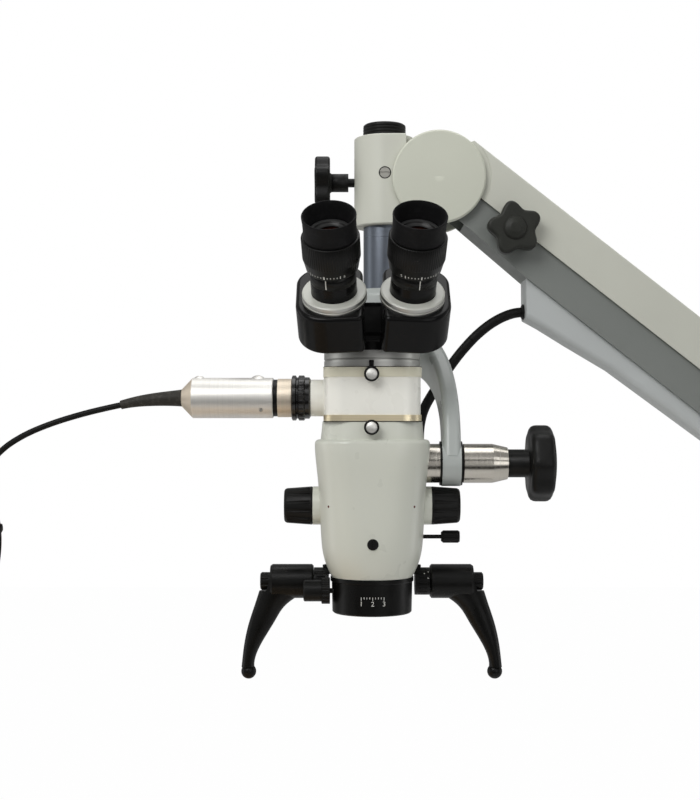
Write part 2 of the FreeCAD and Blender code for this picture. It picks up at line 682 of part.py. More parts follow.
def make_objective():
    """Objective housing, the lens cell that slides in it, and the focus knob."""
    bore = cell_radius + run_gap
    housing = turned([(bore, body_bottom), (lip_radius, body_bottom), (lip_radius, lip_bottom + 0.5),
                      (lip_radius - 0.5, lip_bottom), (ring_top_radius, lip_bottom), (ring_bottom_radius,
                                                                                      ring_bottom + 1.0),
                      (ring_bottom_radius - 1.0, ring_bottom), (bore + 0.8, ring_bottom),
                      (bore, ring_bottom + 0.8)],
                     Vector(0, 0, 0), Z)
    housing = housing.cut(cylinder(2.0, Vector(-31, focus_y, focus_z), X, 12))
    spigot = turned([(cell_radius + 0.5, body_bottom - 0.1), (27.0, body_bottom - 0.1), (27.0, body_bottom),
                     (cell_radius + 0.5, body_bottom)], Vector(0, 0, 0), Z)
    keep("objective_housing", fuse(housing, spigot))
    low = ring_bottom + 2.0 + focus_travel
    cell = turned([(20.0, low), (cell_radius, low), (cell_radius, low + cell_height),
                   (21.5, low + cell_height),
                   (21.5, low + 3.0), (20.0, low + 3.0)], Vector(0, 0, 0), Z)
    keep("objective_cell", cell)
    sag = 2.2
    lens = cylinder(21.4, Vector(0, 0, low + 3.0), Z, 5.0)
    ball_radius = (21.4 ** 2 + sag ** 2) / (2 * sag)
    dome = Part.makeSphere(ball_radius, Vector(0, 0, low + 8.0 - ball_radius + sag))
    lens = lens.fuse(cylinder(21.4, Vector(0, 0, low + 8.0), Z, sag).common(dome)).removeSplitter()
    keep("objective_lens", lens)
    start = Vector(0, focus_y, focus_z)
    face = lip_radius + 0.35
    knob = turned([(0, face), (9.75, face), (9.75, 37.5), (8.0, 37.9), (8.0, 50.2), (7.2, 51.0), (0, 51.0)],
                  start, -X)
    knob = fluted(knob, 9.75 + 0.7, 18, 1.3, start - X * face, -X, 37.5 - face)
    stem = cylinder(1.9, start - X * 26.0, -X, 6.0)
    keep("focus_knob", fuse(knob, stem))


def make_handles():
    """Bar round the back of the body, and the two grips that turn on its axles."""
    strap_low = -84.2
    strap_high = -77.0
    strap = ring(38.5, 33.6, Vector(0, 0, strap_low), Z, strap_high - strap_low)
    strap = strap.cut(block((-60, -60, -100), (60, handle_y - 4.0, -60)))
    strap = strap.cut(nodes["body_shell"][0])
    pad = block((-9, 30, strap_low), (9, 37, strap_high)).cut(nodes["body_shell"][0])
    pad = [solid for solid in pad.Solids if solid.CenterOfMass.y > 33]
    pieces = [strap] + pad
    for name, side in sides.items():
        axis = X * side
        foot = Vector(0, handle_y, handle_z)
        collar = cylinder(collar_radius, foot + axis * collar_in, axis, collar_out - collar_in)
        pieces.append(collar.cut(nodes["body_shell"][0]))
        pieces.append(cylinder(axle_radius, foot + axis * (collar_out - 1), axis,
                               sleeve_out + 4 - collar_out))
    bar = fuse(*pieces)
    for side in (-1, 1):
        start = Vector(side * (collar_in + 2.6), handle_y, handle_z)
        bar = fluted(bar, collar_radius + 0.45, 16, 1.0, start, X * side, collar_out - collar_in - 4.6)
    keep("handle_bar", bar)
    for name, side in sides.items():
        grip = make_grip()
        nut = turned([(axle_radius + run_gap, 0), (end_nut_radius, 0), (end_nut_radius, 6.4),
                      (end_nut_radius - 1.0, 7.4),
                      (0, 7.4), (0, 4.2), (axle_radius + run_gap, 4.2)], Vector(sleeve_out + 0.1, handle_y,
                                                                                handle_z), X)
        nut = fluted(nut, end_nut_radius + 0.5, 10, 1.1, Vector(sleeve_out + 1.4, handle_y, handle_z), X,
                     8.0)
        if side < 0:
            grip = mirrored(grip)
            nut = mirrored(nut)
        keep(name + "_grip", grip, nut)


def make_grip():
    """Right-hand grip: a sleeve on the axle with a bent handle lofted down to a ball tip."""
    pairs = [((82.0, -87.2), (51.4, -90.7), 10.0), ((85.0, -95.7), (54.9, -100.2), 9.6),
             ((87.9, -104.8), (63.4, -106.3), 8.4), ((91.8, -116.4), (72.6, -118.4), 7.4),
             ((95.5, -130.0), (80.2, -131.0), 6.8), ((97.9, -145.0), (87.5, -145.0), 6.2),
             ((99.0, -155.0), (89.2, -154.5), 6.0)]
    wires = []
    for outer, inner, half_y in pairs:
        across = Vector(outer[0] - inner[0], 0, outer[1] - inner[1])
        half = across.Length / 2
        mid = Vector((outer[0] + inner[0]) / 2, handle_y, (outer[1] + inner[1]) / 2)
        if half >= half_y:
            oval = Part.Ellipse(mid + across * 0.5, mid + Y * half_y, mid)
        else:
            oval = Part.Ellipse(mid + Y * half_y, mid + across * 0.5, mid)
        wires.append(Part.Wire(oval.toShape()))
    handle = Part.makeLoft(wires, True, False)
    tip = Part.makeSphere(5.7, Vector(93.5, handle_y, -158.3))
    sleeve = turned([(0, 0), (sleeve_radius - 1.2, 0), (sleeve_radius, 1.2),
                     (sleeve_radius, sleeve_out - collar_out - 2.2),
                     (sleeve_radius - 1.2, sleeve_out - collar_out - 0.5),
                     (0, sleeve_out - collar_out - 0.5)],
                    Vector(collar_out + 0.4, handle_y, handle_z), X)
    grip = fuse(handle, tip, sleeve)
    room = block((40, -30, -120), (collar_out + 0.4, 60, -60))
    grip = grip.cut(room)
    grip = grip.cut(block((sleeve_out, handle_y - 7.3, handle_z - 7.3), (sleeve_out + 30, handle_y + 7.3,
                                                                         handle_z + 30)))
    return grip.cut(cylinder(axle_radius + run_gap, Vector(40, handle_y, handle_z), X, 60))


def make_magnification():
    """Drum turret with its lens pairs, and the two ribbed knobs on the drum's shaft."""
    axis_low = Vector(-drum_half, 0, drum_z)
    drum = cylinder(drum_radius, axis_low, X, 2 * drum_half)
    for side in (-1, 1):
        through = Vector(side * path_x, 0, drum_z)
        drum = drum.cut(cylinder(path_radius - 0.5, through - Z * 30, Z, 60))
        drum = drum.cut(cylinder(path_radius - 0.5, through - Y * 30, Y, 60))
    shaft = cylinder(drum_shaft_radius, Vector(-56, 0, drum_z), X, 112)
    ends = shaft.cut(cylinder(drum_radius, axis_low, X, 2 * drum_half))
    keep("drum_turret", fuse(drum, ends))
    for side in (-1, 1):
        for end in (-1, 1):
            face = Vector(side * path_x, 0, drum_z + end * (drum_radius - 5.0))
            keep("drum_turret", cylinder(path_radius - 0.5, face - Z * 1.5, Z, 3.0))
            face = Vector(side * path_x, end * (drum_radius - 5.0), drum_z)
            keep("drum_turret", cylinder(path_radius - 0.5, face - Y * 1.5, Y, 3.0))
    length = knob_end - side_boss_end - face_gap
    knob_bore = drum_shaft_radius + seat_gap
    for side in (-1, 1):
        start = Vector(side * (side_boss_end + face_gap), 0, drum_z)
        knob = turned([(knob_bore, 0), (14.2, 0), (14.3, 1.0), (13.0, length - 2.0),
                       (12.3, length - 0.6),
                       (11.3, length), (0, length), (0, 56 - side_boss_end - face_gap + seat_gap), 
                       (knob_bore, 56 - side_boss_end - face_gap + seat_gap)], start, X * side)
        knob = fluted(knob, 14.3, 14, 1.5, start + X * side * 1.6, X * side, length)
        keep("magnification_knobs", knob)


def make_filter_slide():
    """Filter carrier on a rod with a small knob at the body's right side."""
    out = 51.75
    rod = cylinder(filter_rod_radius, Vector(21.0, 0, filter_z), X, out - 20.5)
    knob = turned([(0, 0), (3.4, 0), (4.7, 1.6), (4.7, 12.6), (3.9, 13.85), (0, 13.85)],
                  Vector(out, 0, filter_z), X)
    knob = fluted(knob, 5.2, 10, 0.9, Vector(out + 2.2, 0, filter_z), X, 9.6)
    plate = block((-21.5, -12.5, filter_z - 1.5), (21.5, 12.5, filter_z + 1.5))
    for side in (-1, 1):
        plate = plate.cut(cylinder(path_radius - 1.0, Vector(side * path_x, 0, filter_z - 5), Z, 10))
    keep("filter_slide", fuse(rod, plate, knob))


def make_splitter():
    """Beam splitter housing with its rims and camera port, and the prism inside."""
    low = neck_top
    rim = 4.6
    top_rim = 7.1
    half = splitter_half
    deep = splitter_depth_half
    base = rounded_prism(half + 0.3, deep + 0.3, 14.0, low, low + rim)
    middle = rounded_prism(half - 0.4, deep - 0.4, 14.0, low + rim - 0.5, splitter_top - top_rim + 0.5)
    top = rounded_prism(half + 0.4, deep + 0.4, 14.0, splitter_top - top_rim, splitter_top)
    port = turned([(0, 0), (port_radius + 1.2, 0), (port_radius + 1.2, 5.5), (port_radius, 6.5),
                   (port_radius, -port_end - 30), (0, -port_end - 30)], Vector(-30, 0, camera_z), -X)
    shape = fuse(base, middle, top, port)
    shape = shape.cut(block((-22, -13, low + 6), (22, 13, splitter_top - 9)))
    for side in (-1, 1):
        shape = shape.cut(cylinder(path_radius, Vector(side * path_x, 0, low - 1), Z, 50))
    shape = shape.cut(cylinder(8.0, Vector(-60, 0, camera_z), X, 45))
    for z in (upper_screw_z, lower_screw_z):
        shape = shape.cut(cylinder(2.2 + run_gap, Vector(screw_x, -60, z), Y, 34.0))
    groove = block((-3.2 + screw_x, -deep - 1, splitter_top - 2.4), (3.2 + screw_x, -deep + 1.2,
                                                                     splitter_top + 1))
    keep("splitter_housing", shape.cut(groove))
    body = nodes["body_shell"]
    body[0] = body[0].cut(cylinder(2.2 + run_gap, Vector(screw_x, -60, lower_screw_z), Y, 34.0))
    for side in (-1, 1):
        centre = side * path_x
        low_z = low + 7
        points = [Vector(centre - 9, -9, low_z), Vector(centre + 9, -9, low_z), Vector(centre + 9, -9,
                                                                                       low_z + 18),
                  Vector(centre - 9, -9, low_z + 18)]
        prism = Part.Face(Part.makePolygon(points + [points[0]])).extrude(Vector(0, 18, 0))
        keep("splitter_prisms", prism)
        seat = block((centre - 9, -9, low + 6), (centre - 4, 9, low_z))
        keep("splitter_prisms", seat)
    pieces = nodes.pop("splitter_prisms")
    keep("splitter_prisms", fuse(pieces[0], pieces[1]), fuse(pieces[2], pieces[3]))
    middle_ring = ring(ring_radius - 0.8, 26.0, Vector(0, 0, ring_mid - 0.5), Z, 1.0)
    lower_ring = turned([(26, 0), (ring_radius, 0), (ring_radius, 5.5), (ring_radius - 0.7, 5.8),
                         (26, 5.8)],
                        Vector(0, 0, splitter_top), Z)
    upper_ring = turned([(26, 0), (ring_radius - 0.7, 0), (ring_radius, 0.4), (ring_radius, 6.0),
                         (26, 6.0)],
                        Vector(0, 0, ring_mid + 0.2), Z)
    keep("mount_ring", fuse(lower_ring, middle_ring, upper_ring))


def make_thumbscrews():
    """Two thumbscrews on the front that clamp the splitter and the binocular."""
    front = {"upper_thumbscrew": (upper_screw_z, -splitter_depth_half - 0.4),
             "lower_thumbscrew": (lower_screw_z, -splitter_depth_half - 0.7)}
    for node, (z, face_y) in front.items():
        head = turned([(0, 0), (4.2, 0), (4.6, 0.5), (5.2, 0.5), (5.2, 7.0), (2.2, 7.0), (2.2, 15.0),
                       (0, 15.0)],
                      Vector(screw_x, face_y - 7.3, z), Y)
        head = fluted(head, 5.45, 16, 0.5, Vector(screw_x, face_y - 5.9, z), Y, 7.0)
        keep(node, head)


def make_camera():
    """Video camera on the splitter's port: tube, body, end cone and strain relief."""
    tube_start = lock_ring_end + 9.0
    tube = cylinder(9.0, Vector(tube_start, 0, camera_z), -X, tube_start - camera_front)
    collar = cylinder(camera_tube_radius, Vector(lock_ring_end - face_gap, 0, camera_z), -X,
                      lock_ring_end - face_gap - camera_front)
    band = cylinder(camera_tube_radius - 0.6, Vector(camera_front, 0, camera_z), -X,
                    camera_front - camera_band_end)
    main = turned([(0, 0), (camera_radius - 0.5, 0), (camera_radius, 0.5),
                   (camera_radius, camera_band_end - camera_body_end),
                   (6.5, camera_band_end - camera_cone_end), (0, camera_band_end - camera_cone_end)],
                  Vector(camera_band_end, 0, camera_z), -X)
    top = camera_z + camera_radius
    lump = Part.makeSphere(5.5, Vector(-129.5, 0, top - 3.9))
    lump_two = Part.makeSphere(7.0, Vector(-85.5, 0, top - 5.0))
    screw_spot = cylinder(1.4, Vector(-82.5, -camera_radius - 1, camera_z - 9), Y, 9.0)
    main = main.cut(screw_spot)
    shape = fuse(tube, collar, band, main, lump, lump_two)
    keep("camera_body", shape)
    lock = turned([(9.0 + run_gap, 0), (port_radius + 0.3, 0), (port_radius + 1.8, 1.0), (port_radius + 1.8,
                                                                                          4.0),
                   (16.9, 4.8), (16.9, 8.6), (15.4, 9.4), (15.4, 10.2), (16.9, 11.0), (16.9, 13.4),
                   (15.8, 14.0),
                   (9.0 + run_gap, 14.0)], Vector(lock_ring_end + 14.0, 0, camera_z), -X)
    lock = fluted(lock, 17.4, 30, 0.9, Vector(lock_ring_end + 14.0 - 4.9, 0, camera_z), -X, 3.6)
    keep("camera_lock_ring", lock)
    points = [(camera_cone_end, camera_z, 6.4), (-152.0, 48.6, 5.6), (-166.0, 47.6, 4.7),
              (-178.0, 46.0, 3.9),
              (-188.25, 43.75, 3.3)]
    wires = []
    for index, (px, pz, radius) in enumerate(points):
        before = points[max(index - 1, 0)]
        after = points[min(index + 1, len(points) - 1)]
        normal = Vector(after[0] - before[0], 0, after[1] - before[1])
        if index == 0:
            normal = -X
        wires.append(Part.Wire(Part.Circle(Vector(px, 0, pz), normal, radius).toShape()))
    relief = Part.makeLoft(wires, True, False)
    mouth = Vector(-188.0, 0, 43.8)
    inward = Vector(15.0, 0, 3.2).normalize()
    socket = cylinder(cable_diameter / 2 + seat_gap, mouth - inward * 3.0, inward, 3.0 + cable_socket)
    keep("camera_strain_relief", relief.cut(socket))


def ocular_place(side, lift=0.0):
    """Placement whose Z is one eyepiece's axis, with its origin on the prism housing's top face."""
    turn = Rotation(X, eye_tilt).multiply(Rotation(Y, side * eye_spread))
    place = Placement(Vector(side * lobe_x, lobe_y, lobe_z), turn)
    return place.multiply(Placement(Vector(0, 0, lift), Rotation()))


def in_ocular(solid, side, lift=0.0):
    """Copy of a solid built on an eyepiece axis, set at its place."""
    copy = solid.copy()
    copy.Placement = ocular_place(side, lift)
    return copy


def lobe_block(side):
    """Upright block of a prism housing with a different rounding at each corner."""
    low_x = min(-side * lobe_inner, side * lobe_outer)
    width = lobe_inner + lobe_outer
    solid = Part.makeBox(width, lobe_front + lobe_back, lobe_height, Vector(low_x, -lobe_front, -lobe_height))
    rounding = {(1, -1): 22.0, (1, 1): 18.0, (-1, -1): 4.0, (-1, 1): 10.0}
    for (outward, back), radius in rounding.items():
        corner_x = side * (lobe_outer if outward > 0 else -lobe_inner)
        corner_y = lobe_back if back > 0 else -lobe_front
        for edge in solid.Edges:
            box = edge.BoundBox
            upright = box.ZLength > lobe_height - 0.01 and box.XLength < 0.01 and box.YLength < 0.01
            if upright and abs(box.XMin - corner_x) < 0.01 and abs(box.YMin - corner_y) < 0.01:
                solid = solid.makeFillet(radius, [edge])
                break
    return solid


def make_oculars():
    """Prism housings, collars, diopter rings and eyecups of both eyepieces."""
    for name, side in sides.items():
        housing = lobe_block(side)
        rims = [edge for edge in housing.Edges if edge.BoundBox.ZLength < 0.01]
        housing = housing.makeFillet(3.0, rims)
        bore = cylinder(11.0, Vector(0, 0, 9.0 - lobe_height), Z, lobe_height - 7.0)
        port = cylinder(10.0, Vector(0, swing_back, -lobe_height - 1), Z, 12)
        barrel = turned([(13.0, -2), (barrel_radius, -2), (barrel_radius, 16.6), (barrel_radius - 1.2,
                                                                                  16.6),
                         (barrel_radius - 1.2, 24.0), (13.0, 24.0)], Vector(0, 0, 0), Z)
        housing = fuse(housing, barrel).cut(bore).cut(port)
        keep(name + "_prism_housing", in_ocular(housing, side))
        collar = turned([(barrel_radius + 0.2, 0), (ocular_collar_radius, 0), (ocular_collar_radius, 1.6),
                         (ocular_collar_radius - 0.6, 2.0), (ocular_collar_radius - 0.6, 2.6),
                         (ocular_collar_radius, 3.0), (ocular_collar_radius - 0.2, 5.2),
                         (ocular_collar_radius - 1.2, collar_height), (barrel_radius + 0.2, collar_height)],
                        Vector(0, 0, 0), Z)
        keep(name + "_tube_collar", in_ocular(collar, side))
        inner = barrel_radius - 1.2 + run_gap
        diopter = turned([(inner, 16.9), (barrel_radius, 16.9), (barrel_radius, 20.0), (19.0, 26.0),
                          (20.0, 26.6),
                          (20.0, 30.6), (diopter_radius, 31.0), (diopter_radius, diopter_top - 0.6),
                          (diopter_radius - 0.6, diopter_top), (15.0, diopter_top), (15.0, 54.6),
                          (12.0, 54.6),
                          (12.0, 27.0), (inner, 24.6)], Vector(0, 0, 0), Z)
        diopter = fluted(diopter, diopter_radius + 0.35, 36, 0.8, Vector(0, 0, 32.0), Z, 12.0)
        keep(name + "_diopter_ring", in_ocular(diopter, side))
        lens = cylinder(12.0 - seat_gap, Vector(0, 0, 47.0), Z, 4.0)
        lens_dome = Part.makeSphere(33.0, Vector(0, 0, 52.6 - 33.0))
        dome = cylinder(12.0 - seat_gap, Vector(0, 0, 51.0), Z, 3.0).common(lens_dome)
        keep(name + "_eye_lens", in_ocular(fuse(lens, dome), side))
        slide = 15.0 + run_gap
        cup = turned([(slide, diopter_top + face_gap), (19.3, diopter_top + face_gap), (19.2, 50.0),
                      (19.9, cup_rim - 1.0), (19.3, cup_rim), (17.6, cup_rim - 0.4), (16.0, 58.0),
                      (slide, 55.0)], Vector(0, 0, 0), Z)
        keep(name + "_eyecup", in_ocular(cup, side))


def make_binocular_base():
    """Black casting between the mount ring and the two swinging prism housings."""
    foot = cylinder(ring_radius - 1.4, Vector(0, 0, ring_top), Z, 8.0)
    bulk = rounded_prism(44.0, 31.5, 16.0, 88.0, 110.0, 0.0, -3.5)
    bulk = bulk.makeFillet(3.0, [edge for edge in bulk.Edges if edge.BoundBox.ZMax < 88.01])
    shape = fuse(foot, bulk)
    for side in (-1, 1):
        slant = Part.makeBox(160, 160, 80, Vector(-80, -80, -lobe_height - 3.0))
        slant.Placement = ocular_place(side)
        low = 0.0 if side > 0 else -90.0
        half = block((low, -120, 40), (low + 90.0, 90, 260))
        shape = shape.cut(slant.common(half))
    for side in (-1, 1):
        boss = turned([(0, -lobe_height - 26.0), (swing_boss_radius, -lobe_height - 26.0),
                       (swing_boss_radius, -lobe_height - face_gap), (0, -lobe_height - face_gap)],
                      Vector(0, swing_back, 0), Z)
        pin = cylinder(10.0 - run_gap, Vector(0, swing_back, -lobe_height - 1), Z, 10.0)
        shape = shape.fuse(in_ocular(boss, side)).fuse(in_ocular(pin, side))
    shape = shape.cut(block((-60, -90, 40), (60, 90, ring_top)))
    shape = shape.removeSplitter()
    for side in (-1, 1):
        shape = shape.cut(in_ocular(cylinder(7.0, Vector(0, swing_back, -lobe_height - 18), Z, 30), side))
    keep("binocular_base", shape)


def cord_tube(points, diameter, label):
    """Tube along straight runs joined by tangent arcs; prints the arcs' radii and its length."""
    edges = []
    start = points[0]
    radii = []
    for index in range(1, len(points) - 1):
        corner = points[index]
        before = (points[index - 1] - corner)
        after = (points[index + 1] - corner)
        reach = 0.45 * min(before.Length, after.Length)
        inward = before.normalize()
        onward = after.normalize()
        turn = math.pi - inward.getAngle(onward)
        radius = reach / math.tan(turn / 2)
        first = corner + inward * reach
        last = corner + onward * reach
        bisector = (inward + onward).normalize()
        middle = corner + bisector * (radius / math.cos(turn / 2) - radius)
        edges.append(Part.makeLine(start, first))
        edges.append(Part.Arc(first, middle, last).toShape())
        start = last
        radii.append(round(radius, 1))
    edges.append(Part.makeLine(start, points[-1]))
    path = Part.Wire(edges)
    heading = points[1] - points[0]
    section = Part.Wire(Part.Circle(points[0], heading, diameter / 2).toShape())
    tube = path.makePipeShell([section], True, True)
    exact = math.pi * diameter ** 2 / 4 * path.Length
    print(label, "length", round(path.Length, 1), "radii", radii, "volume share", round(tube.Volume / exact,
                                                                                        4))
    return tube


def make_light_guide():
    """Light guide from the gland on the arm to the port behind the microscope body."""
    route = [(132, 80, 120.6), (120.5, 80, 120.6), (110.5, 80, 118.1), (99, 80, 112.3), (87, 80, 102.9),
             (77.5, 80, 92.9), (70, 80, 83.5), (62.5, 80, 72), (55, 80, 59.5), (48.5, 78.5, 49),
             (44, 73, 40.5), (40.8, 65.5, 31), (38.6, 57.8, 22), (38, 55, 12.3)]
    keep("light_guide", cord_tube([Vector(*point) for point in route], 8.0, "light_guide"))


def make_camera_cable():
    """Camera cable: the free run, its tied coil and its plug, hanging at the left."""
    inward = Vector(15.0, 0, 3.2).normalize() * (cable_socket - seat_gap)
    route = [(-188.0 + inward.x, 0, 43.8 + inward.z), (-203, 0, 40.6), (-221, 0, 36.0), (-241, 0, 29.8), (-261, 0, 21.5),
             (-278, 0, 10.5),
             (-290, 0, -4.5), (-297.5, 0, -22), (-300.5, 0, -41), (-301, 0, -60)]
    keep("camera_cable", cord_tube([Vector(*point) for point in route], cable_diameter, "camera_cable"))
    tail = Vector(coil_centre.x, coil_centre.y - coil_radius, coil_centre.z - 12)
    keep("camera_cable", cylinder(cable_diameter / 2, tail, -Z, 16))
    keep("camera_cable_coil", Part.makeTorus(coil_radius, coil_bundle, coil_centre, X))
    plug = turned([(0, 0), (2.9, 0), (4.3, 12), (6.0, 12.4), (6.5, 13), (6.5, 30), (5.4, 30.8), (5.4, 38),
                   (0, 38)],
                  tail - Z * 16, -Z)
    keep("camera_plug", plug)


def build():
    """Make every piece, in the order in which later pieces fit earlier ones."""
    make_top_cover()
    make_upper_bar()
    make_lower_channel()
    make_duct()
    make_spring()
    make_pivots()
    make_hub()
    make_swivel_lock()
    make_arm_lock()
    make_rear_knuckle()
    make_yoke()
    make_tilt_lock()
    make_body()
    make_objective()
    make_handles()
    make_magnification()
    make_filter_slide()
    make_splitter()
    make_thumbscrews()
    make_camera()
    make_oculars()
    make_binocular_base()
    make_light_guide()
    make_camera_cable()


def export():
    """Write one STEP file per node, in the row frame."""
    os.makedirs("parts", exist_ok=True)
    for node, solids in nodes.items():
        moved = []
        for solid in solids:
            for single in solid.Solids:
                copy = single.copy()
                copy.translate(-row_origin)
                moved.append(copy)
        shape = moved[0] if len(moved) == 1 else Part.makeCompound(moved)
        valid = all(single.isValid() for single in moved)
        box = shape.BoundBox
        corners = [round(value, 1) for value in (box.XMin, box.XMax, box.YMin, box.YMax, box.ZMin,
                                                 box.ZMax)]
        print(node, len(moved), "solids", round(shape.Volume, 1), "valid" if valid else "NOT VALID",
              corners)
        shape.exportStep("parts/" + node + ".step")
    print("row origin in the head frame", row_origin, "nodes", len(nodes))


build()
export()
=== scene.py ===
"""Looks of the surgical microscope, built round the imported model. Every object is in metres."""
import bpy
import bmesh
import json
import math
from mathutils import Matrix, Vector
from mathutils.bvhtree import BVHTree


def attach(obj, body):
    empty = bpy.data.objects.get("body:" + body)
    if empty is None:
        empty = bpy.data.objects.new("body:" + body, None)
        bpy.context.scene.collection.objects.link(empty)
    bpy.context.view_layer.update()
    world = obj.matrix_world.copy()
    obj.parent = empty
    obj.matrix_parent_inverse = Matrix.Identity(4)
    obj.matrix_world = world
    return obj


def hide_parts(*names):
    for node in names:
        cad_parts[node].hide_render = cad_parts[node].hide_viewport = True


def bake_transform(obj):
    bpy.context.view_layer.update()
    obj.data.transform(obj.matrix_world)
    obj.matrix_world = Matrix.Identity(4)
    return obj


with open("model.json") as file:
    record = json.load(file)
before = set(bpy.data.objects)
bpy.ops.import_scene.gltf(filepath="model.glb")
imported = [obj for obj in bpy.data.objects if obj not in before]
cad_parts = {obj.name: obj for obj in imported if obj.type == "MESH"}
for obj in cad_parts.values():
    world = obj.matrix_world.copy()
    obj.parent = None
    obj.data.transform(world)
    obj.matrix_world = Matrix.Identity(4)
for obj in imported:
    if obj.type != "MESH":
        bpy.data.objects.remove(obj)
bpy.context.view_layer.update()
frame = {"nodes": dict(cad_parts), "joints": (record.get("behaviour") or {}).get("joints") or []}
nodes = frame["nodes"]
joints = {joint["name"]: joint for joint in frame["joints"]}
mm = 0.001

# The tilt axis, where it crosses the optical axis, is the origin of the head's own frame.
head_origin = Vector(joints["body_tilt"]["pos_m"])


def head(x, y, z):
    """Row-frame point, in metres, of a point of the head's frame in millimetres."""
    return head_origin + Vector((x, y, z)) * mm


# Where an eyepiece's axis leaves its prism housing, and how far it leans and spreads in degrees
eye_side = 27.3
eye_front = -60.0
eye_height = 118.4
eye_lean = math.radians(41.0)
eye_spread = math.radians(3.0)
sides = (("left", -1), ("right", 1))


def eyepiece_place(side):
    """Matrix of an eyepiece's own frame: Z along its axis, origin on the prism housing's top."""
    place = Matrix.Translation(head(side * eye_side, eye_front, eye_height))
    return place @ Matrix.Rotation(eye_lean, 4, "X") @ Matrix.Rotation(side * eye_spread, 4, "Y")


def linear(red, green, blue):
    """Linear colour of an sRGB colour given in 0 to 255."""
    values = []
    for value in (red, green, blue):
        share = value / 255
        values.append(share / 12.92 if share <= 0.04045 else ((share + 0.055) / 1.055) ** 2.4)
    return values + [1.0]


class Finish:
    """A procedural material with a principled shader and helpers for its colour, gloss and relief."""

    def __init__(self, name, color, roughness, metallic=0.0):
        self.material = bpy.data.materials.new(name)
        self.material.use_nodes = True
        self.tree = self.material.node_tree
        self.shader = self.tree.nodes["Principled BSDF"]
        self.shader.inputs["Base Color"].default_value = color
        self.shader.inputs["Roughness"].default_value = roughness
        self.shader.inputs["Metallic"].default_value = metallic
        self.color = color
        self.roughness = roughness
        self.place = self.node("ShaderNodeTexCoord").outputs["Object"]
        self.height = None

    def node(self, kind, **values):
        made = self.tree.nodes.new(kind)
        for key, value in values.items():
            setattr(made, key, value)
        return made

    def link(self, start, end):
        self.tree.links.new(start, end)

    def noise(self, scale, detail=3.0, stretch=(1.0, 1.0, 1.0), rough=0.5):
        """Noise of a given number of cells per metre, stretched along the row's axes."""
        mapping = self.node("ShaderNodeMapping")
        mapping.inputs["Scale"].default_value = stretch
        self.link(self.place, mapping.inputs["Vector"])
        noise = self.node("ShaderNodeTexNoise")
        noise.inputs["Scale"].default_value = scale
        noise.inputs["Detail"].default_value = detail
        noise.inputs["Roughness"].default_value = rough
        self.link(mapping.outputs["Vector"], noise.inputs["Vector"])
        return noise.outputs["Fac"]

    def ranged(self, source, low, high, start=0.3, end=0.7):
        """Source mapped from start..end to low..high."""
        span = self.node("ShaderNodeMapRange")
        span.inputs["From Min"].default_value = start
        span.inputs["From Max"].default_value = end
        span.inputs["To Min"].default_value = low
        span.inputs["To Max"].default_value = high
        self.link(source, span.inputs["Value"])
        return span.outputs["Result"]

    def vary_color(self, source, other, start=0.3, end=0.7, share=1.0):
        """Base colour that turns to another one where the source is high."""
        mix = self.node("ShaderNodeMix", data_type="RGBA")
        socket = self.shader.inputs["Base Color"]
        if socket.is_linked:
            self.link(socket.links[0].from_socket, mix.inputs["A"])
        else:
            mix.inputs["A"].default_value = self.color
        mix.inputs["B"].default_value = other
        self.link(self.ranged(source, 0.0, share, start, end), mix.inputs["Factor"])
        self.link(mix.outputs["Result"], socket)

    def vary_roughness(self, source, low, high, start=0.3, end=0.7):
        self.link(self.ranged(source, low, high, start, end), self.shader.inputs["Roughness"])

    def relief(self, source, depth, strength=1.0):
        """Bump of a given depth in metres, added to the relief so far."""
        bump = self.node("ShaderNodeBump")
        bump.inputs["Distance"].default_value = depth
        bump.inputs["Strength"].default_value = strength
        self.link(source, bump.inputs["Height"])
        if self.height is not None:
            self.link(self.height, bump.inputs["Normal"])
        self.height = bump.outputs["Normal"]
        self.link(self.height, self.shader.inputs["Normal"])
        return self


def shade(color, factor):
    """Lighter or darker version of a linear colour."""
    return [min(1.0, value * factor) for value in color[:3]] + [1.0]


def enamel(name, color, roughness=0.34, coat=0.25, grain=1400.0, gloss=0.5):
    """Sprayed enamel: slightly uneven tone and gloss with a faint orange peel."""
    finish = Finish(name, color, roughness)
    finish.vary_color(finish.noise(14.0, 2.0), shade(color, 0.97))
    finish.vary_roughness(finish.noise(60.0, 2.0), roughness - 0.03, roughness + 0.04)
    finish.relief(finish.noise(grain, 2.0), 0.00004, 0.35)
    finish.shader.inputs["Coat Weight"].default_value = coat
    finish.shader.inputs["Coat Roughness"].default_value = 0.2
    finish.shader.inputs["Specular IOR Level"].default_value = gloss
    return finish.material


def powder(name, color, roughness=0.5):
    """Fine powder coat with a pebbled grain."""
    finish = Finish(name, color, roughness)
    finish.vary_color(finish.noise(11.0, 2.0), shade(color, 0.93))
    finish.vary_roughness(finish.noise(160.0, 3.0), roughness - 0.06, roughness + 0.06)
    finish.relief(finish.noise(2200.0, 2.0), 0.00006, 0.4)
    return finish.material


def turned_metal(name, color, axis, roughness=0.26, grain=4200.0):
    """Metal turned on a lathe about an axis: fine rings across the axis."""
    finish = Finish(name, color, roughness, 1.0)
    stretch = [0.0005, 0.0005, 0.0005]
    stretch[axis] = 1.0
    rings = finish.noise(grain, 2.0, stretch)
    finish.vary_color(rings, shade(color, 0.9), 0.35, 0.75)
    finish.vary_roughness(finish.noise(500.0, 3.0, stretch), roughness - 0.05, roughness + 0.06)
    finish.relief(rings, 0.000008, 0.4)
    finish.shader.inputs["Anisotropic"].default_value = 0.4
    return finish.material


